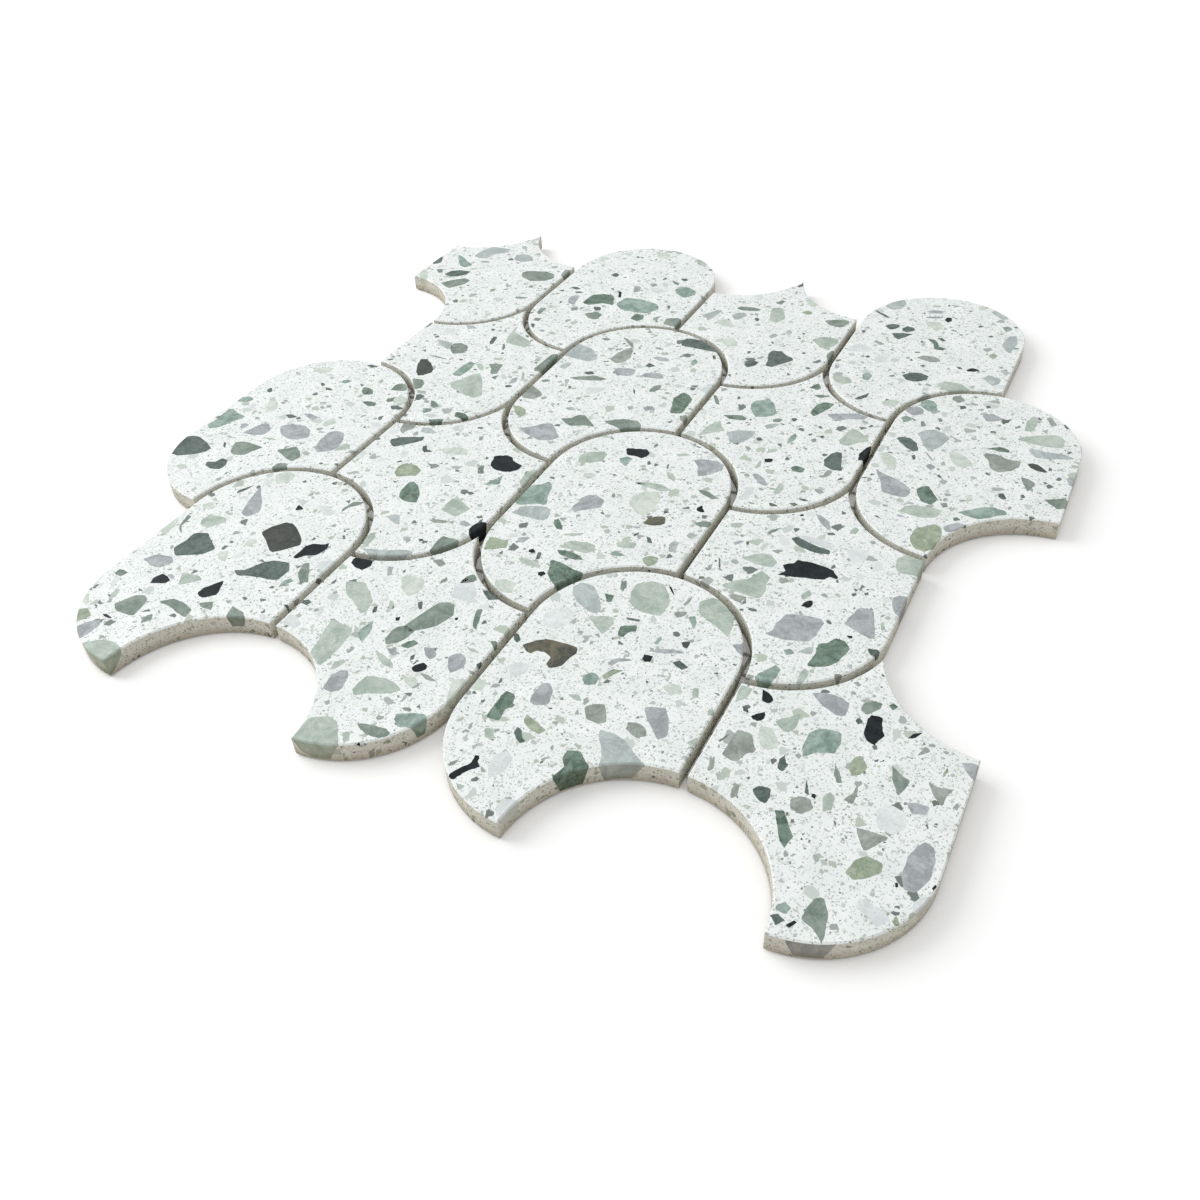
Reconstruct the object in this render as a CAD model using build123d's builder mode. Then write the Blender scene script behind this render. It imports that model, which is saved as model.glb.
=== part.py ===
from build123d import *
import os

# Terrazzo mosaic tile: a flat sheet of terrazzo chips on a backing net, with one even joint all through.
# Every chip is sawn from the same obround. The obrounds stand on a slanted lattice, and each chip loses
# what some of its neighbours take up, so that the chips interlock.
# The sheet lies on its net with its polished face up along +Z, and its columns run along +Y.

# Driving dimensions, in millimetres
arc_radius = 33.0  # every arc of the pattern, measured to the middle of the joint
flank_length = 38.2  # the straight flanks between an obround's two arcs
joint_width = 2.4  # between neighbouring chips, left open for grout
chip_thickness = 6.3
arris_width = 0.4  # broken edge round each polished face
yarn_width = 0.9
yarn_thickness = 0.25
yarn_pitch = 8.0
net_inset = 4.0  # from the chips' outer edges to the net's cut edge

# The columns of the sheet: name, place in the lattice, and the rows that it holds, from the front
columns = [
    ("scale_left", -2, [1, 2]),
    ("tongue_left", -1, [1, 2, 3, 4]),
    ("scale_middle", 0, [1, 2, 3, 4]),
    ("tongue_right", 1, [1, 2, 3, 4]),
    ("scale_right", 2, [3, 4]),
]
places = [(column, row) for name, column, rows in columns for row in rows]
fewest_crossings = 2  # a yarn that crosses fewer others doesn't stay on the net

# Sizes that follow
own_width = 2 * arc_radius - joint_width
bite_width = 2 * arc_radius + joint_width
column_step = 2 * arc_radius
row_step = arc_radius + flank_length
middle_row = (min(row for column, row in places) + max(row for column, row in places)) / 2
net_thickness = 2 * yarn_thickness


def obround_centre(column, row):
    """Centre of the obround at a place in the lattice, with the sheet's middle at the origin."""
    steps = row - middle_row
    return (column_step * column - arc_radius * steps, row_step * steps)


def biting_places(column, row):
    """Places in the lattice whose obrounds, with a joint round them, are cut out of this chip."""
    if column % 2 == 0:
        return [(column, row - 1)]
    return [(column - 1, row - 1), (column, row + 1), (column + 1, row + 1)]


centres = [obround_centre(*place) for place in places]
sheet_width = max(x for x, y in centres) - min(x for x, y in centres) + own_width
sheet_length = max(y for x, y in centres) - min(y for x, y in centres) + flank_length + own_width
# One yarn of each layer runs through the sheet's middle, and the others lie evenly to both sides of it
warp_count = 2 * int(sheet_width / 2 / yarn_pitch) + 1
weft_count = 2 * int(sheet_length / 2 / yarn_pitch) + 1

os.makedirs("parts", exist_ok=True)

# Terrazzo chips
for name, column, rows in columns:
    for row in rows:
        with BuildPart() as chip:
            with BuildSketch(Plane.XY.offset(net_thickness)):
                with Locations(obround_centre(column, row)):
                    SlotCenterToCenter(flank_length, own_width, rotation=90)
                with Locations([obround_centre(*place) for place in biting_places(column, row)]):
                    SlotCenterToCenter(flank_length, bite_width, rotation=90, mode=Mode.SUBTRACT)
            extrude(amount=chip_thickness)
            polished_face = chip.faces().sort_by(Axis.Z)[-1]
            chamfer(polished_face.edges(), length=arris_width)
        chip.part.label = f"{name}_{row}"
        export_step(chip.part, f"parts/{name}_{row}.step")

# Outline of the net: every obround drawn in from the chips' outer edges, the ground between neighbours filled,
# and the bays left clear where a chip of the next sheet comes in
missing_places = {place for chip_place in places for place in biting_places(*chip_place)} - set(places)
with BuildSketch() as net_outline:
    with Locations(centres):
        SlotCenterToCenter(flank_length, own_width - 2 * net_inset, rotation=90)
    for column, row in places:
        here, right = (column, row), (column + 1, row)
        behind_left, behind_right = (column, row + 1), (column + 1, row + 1)
        if right in places:
            with Locations(obround_centre(column + 0.5, row)):
                Rectangle(column_step, flank_length)
        for corners in [(here, right, behind_right), (here, behind_right, behind_left)]:
            if set(corners) <= set(places):
                with BuildLine():
                    Polyline([obround_centre(*place) for place in corners], close=True)
                make_face()
    with Locations([obround_centre(*place) for place in sorted(missing_places)]):
        SlotCenterToCenter(flank_length, bite_width + 2 * net_inset, rotation=90, mode=Mode.SUBTRACT)


def is_held(yarn):
    """Whether a yarn is long enough to cross others and stay on the net."""
    return yarn.area > fewest_crossings * yarn_pitch * yarn_width


# Lengthwise yarns, the lower layer, on which the sheet rests
with BuildPart() as net_warp:
    with BuildSketch() as warp_yarns:
        with GridLocations(yarn_pitch, 0, warp_count, 1):
            Rectangle(yarn_width, sheet_length)
        add(net_outline.sketch, mode=Mode.INTERSECT)
    extrude(warp_yarns.sketch.faces().filter_by(is_held), amount=yarn_thickness)
net_warp.part.label = "net_warp"
export_step(net_warp.part, "parts/net_warp.step")

# Crosswise yarns, the upper layer, glued to the backs of the chips
with BuildPart() as net_weft:
    with BuildSketch(Plane.XY.offset(yarn_thickness)) as weft_yarns:
        with GridLocations(0, yarn_pitch, 1, weft_count):
            Rectangle(sheet_width, yarn_width)
        add(net_outline.sketch, mode=Mode.INTERSECT)
    extrude(weft_yarns.sketch.faces().filter_by(is_held), amount=yarn_thickness)
net_weft.part.label = "net_weft"
export_step(net_weft.part, "parts/net_weft.step")
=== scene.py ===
"""Dresses the terrazzo mosaic tile: a sheet of interlocking chips on a backing net.

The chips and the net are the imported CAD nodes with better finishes. The larger marble stones of the terrazzo
are pieces of their own, let into the chips and cut flush with the polished face and the sawn walls.
"""
import logging
import random
from dataclasses import dataclass, field
from enum import Enum

import bmesh
import bpy
from mathutils import Matrix, Vector


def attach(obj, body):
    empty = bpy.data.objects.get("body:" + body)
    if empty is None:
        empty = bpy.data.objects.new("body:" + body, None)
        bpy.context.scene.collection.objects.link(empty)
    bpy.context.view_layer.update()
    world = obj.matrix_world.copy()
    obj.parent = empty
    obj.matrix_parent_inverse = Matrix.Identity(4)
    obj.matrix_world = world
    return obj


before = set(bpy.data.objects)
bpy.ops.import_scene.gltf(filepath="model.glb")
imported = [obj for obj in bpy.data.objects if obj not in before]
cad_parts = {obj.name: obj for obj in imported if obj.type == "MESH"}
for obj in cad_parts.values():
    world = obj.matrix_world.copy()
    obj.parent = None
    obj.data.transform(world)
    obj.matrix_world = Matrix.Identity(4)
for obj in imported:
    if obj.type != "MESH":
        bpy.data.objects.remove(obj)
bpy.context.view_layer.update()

log = logging.getLogger("terrazzo_mosaic_tile")
MM = 0.001
FACE_LEVEL = 6.8  # height of the polished face, in millimetres
ARRIS = 0.4  # broken edge round the polished face, in millimetres
CHIP_THICKNESS = 6.3  # in millimetres
BACK_LEVEL = FACE_LEVEL - CHIP_THICKNESS  # height of the chips' backs, on the net
STONE_EXCESS = 0.6  # what is cut off a stone above the polished face, in millimetres

Corner = tuple[float, float]
Outline = tuple[Corner, ...]
Colour = tuple[float, float, float, float]


def linear(hex_colour: str) -> Colour:
    """Turns an sRGB hex colour to linear.

    Args:
        hex_colour: Colour such as "#a9b7ac".

    Returns:
        Red, green, blue and an alpha of 1.
    """
    parts = [int(hex_colour[i:i + 2], 16) / 255 for i in (1, 3, 5)]
    red, green, blue = [p / 12.92 if p <= 0.04045 else ((p + 0.055) / 1.055) ** 2.4 for p in parts]
    return (red, green, blue, 1.0)


def per_metre(size_mm: float) -> float:
    """Texture scale that gives a pattern of this size, in millimetres, on coordinates in metres."""
    return 1.0 / (size_mm * MM)


def add_node(tree: bpy.types.NodeTree, kind: str, settings: dict | None = None,
             inputs: dict | None = None) -> bpy.types.Node:
    """Adds one node with its settings, values and links.

    Args:
        tree: Node tree that gets the node.
        kind: Blender's name for the node type.
        settings: The node's own properties by name.
        inputs: A value, or an output socket to link from, by input name or number.

    Returns:
        The new node.
    """
    node = tree.nodes.new(kind)
    for name, value in (settings or {}).items():
        setattr(node, name, value)
    for name, value in (inputs or {}).items():
        if isinstance(value, bpy.types.NodeSocket):
            tree.links.new(value, node.inputs[name])
        else:
            node.inputs[name].default_value = value
    return node


def new_material(name: str) -> tuple[bpy.types.Material, bpy.types.NodeTree, bpy.types.Node]:
    """Starts a node material.

    Args:
        name: Name of the finish.

    Returns:
        The material, its node tree and its Principled shader.
    """
    material = bpy.data.materials.new(name)
    material.use_nodes = True
    return material, material.node_tree, material.node_tree.nodes["Principled BSDF"]


def fill_ramp(ramp: bpy.types.Node, stops: list[tuple[float, str]]) -> None:
    """Sets the stops of a colour ramp.

    Args:
        ramp: Colour ramp node.
        stops: Place from 0 to 1 and hex colour of each stop.
    """
    elements = ramp.color_ramp.elements
    while len(elements) < len(stops):
        elements.new(1.0)
    for element, (place, hex_colour) in zip(elements, stops):
        element.position = place
        element.color = linear(hex_colour)


@dataclass(frozen=True)
class Grit:
    """One size of the small stones in the ground.

    Args:
        size: Spacing of the stones, in millimetres.
        share: Share of the places that hold a stone.
        stops: Colours of the stones, by their share.
        margin: Least and most cement round a stone, as a share of the spacing.
        blur: Width of a stone's soft edge, as a share of the spacing.
    """

    size: float
    share: float
    stops: tuple[tuple[float, str], ...]
    margin: tuple[float, float] = (0.03, 0.2)
    blur: float = 0.05


@dataclass(frozen=True)
class SawnTone:
    """What the saw leaves on walls and back: a warm unpolished skin, which painted shade darkens
    towards the back, as the joints between the chips darken towards their bottom.

    Args:
        tint: Cleanest tone of the skin.
        stain: Tone of the skin where saw sludge has dried.
        sludge_size: Size of the dried patches, in millimetres.
        low_shade: Tone of the painted shade at the back.
        low_shade_share: How strongly the painted shade shows at the back, from 0 to 1.
        low_shade_height: Height at which the painted shade has faded out, in millimetres.
        lowest_polish: Height below which nothing is polished, in millimetres.
        highest_sawn: Height above which everything is polished, in millimetres.
    """

    tint: str = "#f6f1ea"
    stain: str = "#e3dcd1"
    sludge_size: float = 4.0
    # Painted shade: the sawn skin darkens towards the back, to this tone and share, up to the height below.
    low_shade: str = "#b5a891"
    low_shade_share: float = 0.7
    low_shade_height: float = 3.6
    lowest_polish: float = FACE_LEVEL - ARRIS - 0.12
    highest_sawn: float = FACE_LEVEL - ARRIS + 0.02

    def polish(self, tree: bpy.types.NodeTree, coords: bpy.types.NodeSocket) -> bpy.types.NodeSocket:
        """Share of polish at a point.

        Args:
            tree: Node tree that gets the nodes.
            coords: Object coordinates.

        Returns:
            1 on the polished face and its arris, 0 on the walls and the back.
        """
        split = add_node(tree, "ShaderNodeSeparateXYZ", inputs={0: coords})
        level = add_node(tree, "ShaderNodeMapRange", inputs={
            "Value": split.outputs["Z"], "From Min": self.lowest_polish * MM,
            "From Max": self.highest_sawn * MM})
        return level.outputs[0]

    def tone(self, tree: bpy.types.NodeTree, colour: bpy.types.NodeSocket, coords: bpy.types.NodeSocket,
             polish: bpy.types.NodeSocket) -> bpy.types.NodeSocket:
        """Tints a colour where the surface is sawn, and darkens it towards the back with painted shade.

        Args:
            tree: Node tree that gets the nodes.
            colour: Colour of the honed material.
            coords: Object coordinates.
            polish: Share of polish.

        Returns:
            The tinted colour.
        """
        sludge = add_node(tree, "ShaderNodeTexNoise", inputs={
            "Vector": coords, "Scale": per_metre(self.sludge_size), "Detail": 4.0, "Roughness": 0.65})
        skin = add_node(tree, "ShaderNodeMix", {"data_type": "RGBA"}, {
            "Factor": sludge.outputs[0], 6: linear(self.stain), 7: linear(self.tint)})
        split = add_node(tree, "ShaderNodeSeparateXYZ", inputs={0: coords})
        # Painted shade, strongest at the chips' back and gone at its height.
        low = add_node(tree, "ShaderNodeMapRange", inputs={
            "Value": split.outputs["Z"], "From Min": BACK_LEVEL * MM, "From Max": self.low_shade_height * MM,
            "To Min": self.low_shade_share, "To Max": 0.0})
        shaded_skin = add_node(tree, "ShaderNodeMix", {"data_type": "RGBA"}, {
            "Factor": low.outputs[0], 6: skin.outputs[2], 7: linear(self.low_shade)})
        sawn = add_node(tree, "ShaderNodeMix", {"data_type": "RGBA", "blend_type": "MULTIPLY"}, {
            "Factor": 1.0, 6: colour, 7: shaded_skin.outputs[2]})
        mixed = add_node(tree, "ShaderNodeMix", {"data_type": "RGBA"}, {
            "Factor": polish, 6: sawn.outputs[2], 7: colour})
        return mixed.outputs[2]


@dataclass(frozen=True)
class TerrazzoGround:
    """Honed white-cement terrazzo.

    White cement with marble dust and small marble stones, cast as a block, sawn to slabs and honed. That
    gives a matte, very pale, slightly cool face with sharp-edged stones level with it, and pin-sized specks
    of marble dust. Sizes are in millimetres. Roughness and bump are those of a sawn, then a honed surface.
    """

    pale: str = "#f3f7f6"
    shade: str = "#e4eae8"
    cloud_size: float = 9.0
    ripple_size: float = 1.1
    ripple_reach: float = 0.9
    pore_size: float = 0.5
    pore_depth: float = 0.12
    roughness: tuple[float, float] = (0.9, 0.52)
    bump: tuple[float, float] = (0.5, 0.06)
    ior: float = 1.5
    sawn: SawnTone = field(default_factory=SawnTone)
    grits: tuple[Grit, ...] = (
        Grit(0.44, 0.3, ((0.0, "#bbc2bd"), (0.35, "#ccd2cd"), (0.65, "#abb2ad"), (0.9, "#8b938e"))),
        Grit(0.9, 0.12, ((0.0, "#aeb5af"), (0.3, "#c8cec9"), (0.55, "#b9bfb6"), (0.8, "#89918c"),
                         (0.95, "#5d6562"))),
        Grit(1.8, 0.1, ((0.0, "#b5beb8"), (0.28, "#cfd6d1"), (0.5, "#9ea7a1"), (0.72, "#b4bbb0"),
                        (0.86, "#6b7470"))),
        Grit(3.4, 0.09, ((0.0, "#c6cfca"), (0.3, "#dbe1df"), (0.55, "#a9b1ad"), (0.76, "#b7c3b5"),
                         (0.92, "#6f7a75"))),
    )

    def make(self) -> bpy.types.Material:
        """Makes the material.

        Returns:
            The terrazzo's ground with its small stones.
        """
        material, tree, shader = new_material("honed_white_cement_terrazzo")
        coords = add_node(tree, "ShaderNodeTexCoord").outputs["Object"]
        ripple = add_node(tree, "ShaderNodeTexNoise", inputs={
            "Vector": coords, "Scale": per_metre(self.ripple_size), "Detail": 2.0})
        off = add_node(tree, "ShaderNodeVectorMath", {"operation": "SUBTRACT"}, {
            0: ripple.outputs[1], 1: (0.5,) * 3})
        sway = add_node(tree, "ShaderNodeVectorMath", {"operation": "SCALE"}, {
            0: off.outputs[0], "Scale": self.ripple_reach * MM})
        ragged = add_node(tree, "ShaderNodeVectorMath", {"operation": "ADD"}, {0: coords, 1: sway.outputs[0]})
        cloud = add_node(tree, "ShaderNodeTexNoise", inputs={
            "Vector": coords, "Scale": per_metre(self.cloud_size), "Detail": 6.0, "Roughness": 0.7})
        patch = add_node(tree, "ShaderNodeMapRange", inputs={
            "Value": cloud.outputs[0], "From Min": 0.3, "From Max": 0.7})
        cement = add_node(tree, "ShaderNodeMix", {"data_type": "RGBA"}, {
            "Factor": patch.outputs[0], 6: linear(self.shade), 7: linear(self.pale)})
        colour = cement.outputs[2]
        for grit in self.grits:
            colour = self.scatter(tree, ragged.outputs[0], colour, grit)
        polish = self.sawn.polish(tree, coords)
        colour = self.sawn.tone(tree, colour, coords, polish)
        pores = add_node(tree, "ShaderNodeTexNoise", inputs={
            "Vector": coords, "Scale": per_metre(self.pore_size), "Detail": 3.0})
        rough = add_node(tree, "ShaderNodeMapRange", inputs={
            "Value": polish, "To Min": self.roughness[0], "To Max": self.roughness[1]})
        depth = add_node(tree, "ShaderNodeMapRange", inputs={
            "Value": polish, "To Min": self.bump[0], "To Max": self.bump[1]})
        relief = add_node(tree, "ShaderNodeBump", inputs={
            "Strength": depth.outputs[0], "Distance": self.pore_depth * MM, "Height": pores.outputs[0]})
        tree.links.new(colour, shader.inputs["Base Color"])
        tree.links.new(rough.outputs[0], shader.inputs["Roughness"])
        tree.links.new(relief.outputs[0], shader.inputs["Normal"])
        shader.inputs["IOR"].default_value = self.ior
        return material

    def scatter(self, tree: bpy.types.NodeTree, coords: bpy.types.NodeSocket, ground: bpy.types.NodeSocket,
                grit: Grit) -> bpy.types.NodeSocket:
        """Lays small angular stones of one size over the ground.

        Args:
            tree: Node tree that gets the nodes.
            coords: Coordinates with a ragged edge.
            ground: Colour under the stones.
            grit: Size, share and colours of the stones.

        Returns:
            The colour with the stones in it.
        """
        scale = per_metre(grit.size)
        cell = add_node(tree, "ShaderNodeTexVoronoi", {"feature": "F1"}, {"Vector": coords, "Scale": scale})
        edge = add_node(tree, "ShaderNodeTexVoronoi", {"feature": "DISTANCE_TO_EDGE"}, {
            "Vector": coords, "Scale": scale})
        chance = add_node(tree, "ShaderNodeSeparateColor", inputs={0: cell.outputs["Color"]})
        held = add_node(tree, "ShaderNodeMath", {"operation": "LESS_THAN"}, {
            0: chance.outputs[0], 1: grit.share})
        margin = add_node(tree, "ShaderNodeMapRange", inputs={
            "Value": chance.outputs[1], "To Min": grit.margin[0], "To Max": grit.margin[1]})
        beyond = add_node(tree, "ShaderNodeMath", {"operation": "SUBTRACT"}, {
            0: edge.outputs["Distance"], 1: margin.outputs[0]})
        inside = add_node(tree, "ShaderNodeMapRange", inputs={
            "Value": beyond.outputs[0], "From Min": 0.0, "From Max": grit.blur})
        mask = add_node(tree, "ShaderNodeMath", {"operation": "MULTIPLY"}, {
            0: held.outputs[0], 1: inside.outputs[0]})
        tint = add_node(tree, "ShaderNodeValToRGB", inputs={0: chance.outputs[2]})
        tint.color_ramp.interpolation = "CONSTANT"
        fill_ramp(tint, list(grit.stops))
        mixed = add_node(tree, "ShaderNodeMix", {"data_type": "RGBA"}, {
            "Factor": mask.outputs[0], 6: ground, 7: tint.outputs[0]})
        return mixed.outputs[2]


@dataclass(frozen=True)
class MarbleFinish:
    """Honed marble of one colour: crystalline limestone with cloudy tone, fine grain and thin veins.

    Args:
        name: Name of the finish.
        body: Main colour.
        cloud: Colour of its cloudy patches.
        vein: Colour of its veins.
        vein_share: How strongly the veins show, from 0 to 1.
        cloud_size: Size of the patches, in millimetres.
        vein_size: Spacing of the veins, in millimetres.
        vein_width: Width of a vein, as a share of the noise that it follows.
        grain_size: Size of the crystals, in millimetres, coarser than the real 0.3 mm so that they show.
        grain_value: Brightness of the darkest and the palest crystals.
        roughness: Roughness where it is sawn and where it is honed.
        specular: Specular level, low because honed marble has hardly any gloss.
    """

    name: str
    body: str
    cloud: str
    vein: str
    vein_share: float = 0.3
    cloud_size: float = 5.0
    vein_size: float = 6.0
    vein_width: float = 0.03
    grain_size: float = 0.7
    grain_value: tuple[float, float] = (0.78, 1.22)
    roughness: tuple[float, float] = (0.85, 0.42)
    specular: float = 0.17

    def make(self, sawn: SawnTone) -> bpy.types.Material:
        """Makes the material.

        Args:
            sawn: Tone of the sawn walls, with its painted shade towards the back.

        Returns:
            The marble.
        """
        material, tree, shader = new_material(self.name)
        coords = add_node(tree, "ShaderNodeTexCoord").outputs["Object"]
        mist = add_node(tree, "ShaderNodeTexNoise", inputs={
            "Vector": coords, "Scale": per_metre(self.cloud_size), "Detail": 6.0, "Roughness": 0.74,
            "Distortion": 0.8})
        share = add_node(tree, "ShaderNodeMapRange", inputs={
            "Value": mist.outputs[0], "From Min": 0.41, "From Max": 0.59})
        colour = add_node(tree, "ShaderNodeMix", {"data_type": "RGBA"}, {
            "Factor": share.outputs[0], 6: linear(self.body), 7: linear(self.cloud)}).outputs[2]
        swirl = add_node(tree, "ShaderNodeTexNoise", inputs={
            "Vector": coords, "Scale": per_metre(self.vein_size), "Detail": 5.0, "Roughness": 0.6,
            "Distortion": 1.2})
        ridge = add_node(tree, "ShaderNodeMath", {"operation": "SUBTRACT"}, {0: swirl.outputs[0], 1: 0.5})
        line = add_node(tree, "ShaderNodeMath", {"operation": "ABSOLUTE"}, {0: ridge.outputs[0]})
        thin = add_node(tree, "ShaderNodeMapRange", inputs={
            "Value": line.outputs[0], "From Min": 0.0, "From Max": self.vein_width,
            "To Min": self.vein_share, "To Max": 0.0})
        colour = add_node(tree, "ShaderNodeMix", {"data_type": "RGBA"}, {
            "Factor": thin.outputs[0], 6: colour, 7: linear(self.vein)}).outputs[2]
        grain = add_node(tree, "ShaderNodeTexNoise", inputs={
            "Vector": coords, "Scale": per_metre(self.grain_size), "Detail": 3.0})
        value = add_node(tree, "ShaderNodeMapRange", inputs={
            "Value": grain.outputs[0], "To Min": self.grain_value[0], "To Max": self.grain_value[1]})
        colour = add_node(tree, "ShaderNodeHueSaturation", inputs={
            "Value": value.outputs[0], "Color": colour}).outputs[0]
        polish = sawn.polish(tree, coords)
        colour = sawn.tone(tree, colour, coords, polish)
        rough = add_node(tree, "ShaderNodeMapRange", inputs={
            "Value": polish, "To Min": self.roughness[0], "To Max": self.roughness[1]})
        tree.links.new(colour, shader.inputs["Base Color"])
        tree.links.new(rough.outputs[0], shader.inputs["Roughness"])
        shader.inputs["Specular IOR Level"].default_value = self.specular
        return material


class Marble(Enum):
    """The marbles that the terrazzo is made with."""

    BLACK = MarbleFinish("black_marble", "#151b1e", "#242b2e", "#3c4548", 0.2, 3.0)
    DARK_GREEN = MarbleFinish("dark_green_marble", "#52665a", "#7c9083", "#9aac9f", 0.35, 4.0)
    SLATE = MarbleFinish("dark_grey_green_marble", "#4d5b57", "#697772", "#88938f", 0.3, 4.5)
    BROWN = MarbleFinish("dark_brown_marble", "#3e4340", "#50534f", "#686b66", 0.25, 4.5)
    TEAL = MarbleFinish("teal_marble", "#7a9188", "#a3b6ad", "#677d75", 0.4, 5.0)
    GREY_GREEN = MarbleFinish("grey_green_marble", "#75857b", "#939f97", "#63736a", 0.3, 5.0)
    SAGE = MarbleFinish("sage_marble", "#a2b1a6", "#bdc8be", "#cdd6cf", 0.25, 6.0)
    CELADON = MarbleFinish("celadon_marble", "#bfcbc1", "#d4dcd3", "#a7b7ab", 0.25, 6.0)
    LAVENDER = MarbleFinish("lavender_grey_marble", "#999fa1", "#b6bbbe", "#868c8f", 0.3, 5.0)
    WARM_GREY = MarbleFinish("warm_grey_marble", "#8a918b", "#a5ada7", "#747b75", 0.3, 5.0)
    OLIVE = MarbleFinish("olive_marble", "#8f9d88", "#aebaa5", "#74826a", 0.35, 4.0)
    UMBER = MarbleFinish("dark_olive_marble", "#4b4f4a", "#6d6b5b", "#8d866c", 0.35, 5.0)
    MIST = MarbleFinish("blue_grey_marble", "#a3aead", "#bcc6c5", "#8e9a99", 0.3, 6.0)
    PALE = MarbleFinish("pale_grey_marble", "#d0d8d7", "#dce2e1", "#b8c1c1", 0.2, 6.0)
    WHITE = MarbleFinish("white_marble", "#d8dedd", "#e6eaea", "#c8cfcf", 0.15, 7.0)


@dataclass(frozen=True)
class GlassFibreYarn:
    """Coated glass-fibre yarn: white twisted strands in a milky coating, so it is pale, with slanting ridges.

    Args:
        body: Colour of the ridges.
        groove_shade: Colour between them, painted shade in the grooves.
        twist: Spacing of the ridges, in millimetres, drawn coarser than the real 0.4 mm so that they show.
        slant: Angle of the ridges, in radians.
        depth: Depth of the grooves, in millimetres.
        bands: Ridges that the wave texture draws per metre at a scale of 1.
        roughness: Roughness of the coating.
        ior: Index of refraction of the coating.
    """

    body: str = "#c4c2b8"
    # Painted shade: the grooves between the ridges are darker than the ridges.
    groove_shade: str = "#9a988d"
    twist: float = 1.1
    slant: float = 0.785
    depth: float = 0.1
    bands: float = 3.14
    roughness: float = 0.55
    ior: float = 1.5

    def make(self) -> bpy.types.Material:
        """Makes the material.

        Returns:
            The yarn.
        """
        material, tree, shader = new_material("coated_glass_fibre_yarn")
        coords = add_node(tree, "ShaderNodeTexCoord").outputs["Object"]
        turn = add_node(tree, "ShaderNodeMapping", inputs={
            "Vector": coords, "Rotation": (0.0, 0.0, self.slant)})
        wave = add_node(tree, "ShaderNodeTexWave", inputs={
            "Vector": turn.outputs[0], "Scale": per_metre(self.twist) / self.bands, "Distortion": 0.4,
            "Detail": 1.0})
        # Painted shade where the wave dips into the grooves, following the same wave as the bump.
        colour = add_node(tree, "ShaderNodeMix", {"data_type": "RGBA"}, {
            "Factor": wave.outputs[1], 6: linear(self.groove_shade), 7: linear(self.body)})
        bump = add_node(tree, "ShaderNodeBump", inputs={
            "Strength": 0.6, "Distance": self.depth * MM, "Height": wave.outputs[1]})
        tree.links.new(colour.outputs[2], shader.inputs["Base Color"])
        tree.links.new(bump.outputs[0], shader.inputs["Normal"])
        shader.inputs["Roughness"].default_value = self.roughness
        shader.inputs["IOR"].default_value = self.ior
        return material


@dataclass(frozen=True)
class Stone:
    """One marble stone of the terrazzo.

    Args:
        marble: What it is.
        corners: Its outline seen from above, in millimetres in the sheet's frame.
        lid: Height that it is modelled to, in millimetres. Above the face, it shows there too.
    """

    marble: Marble
    corners: Outline
    lid: float = FACE_LEVEL + STONE_EXCESS


ChipStones = dict[Marble, list[Outline]]

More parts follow.
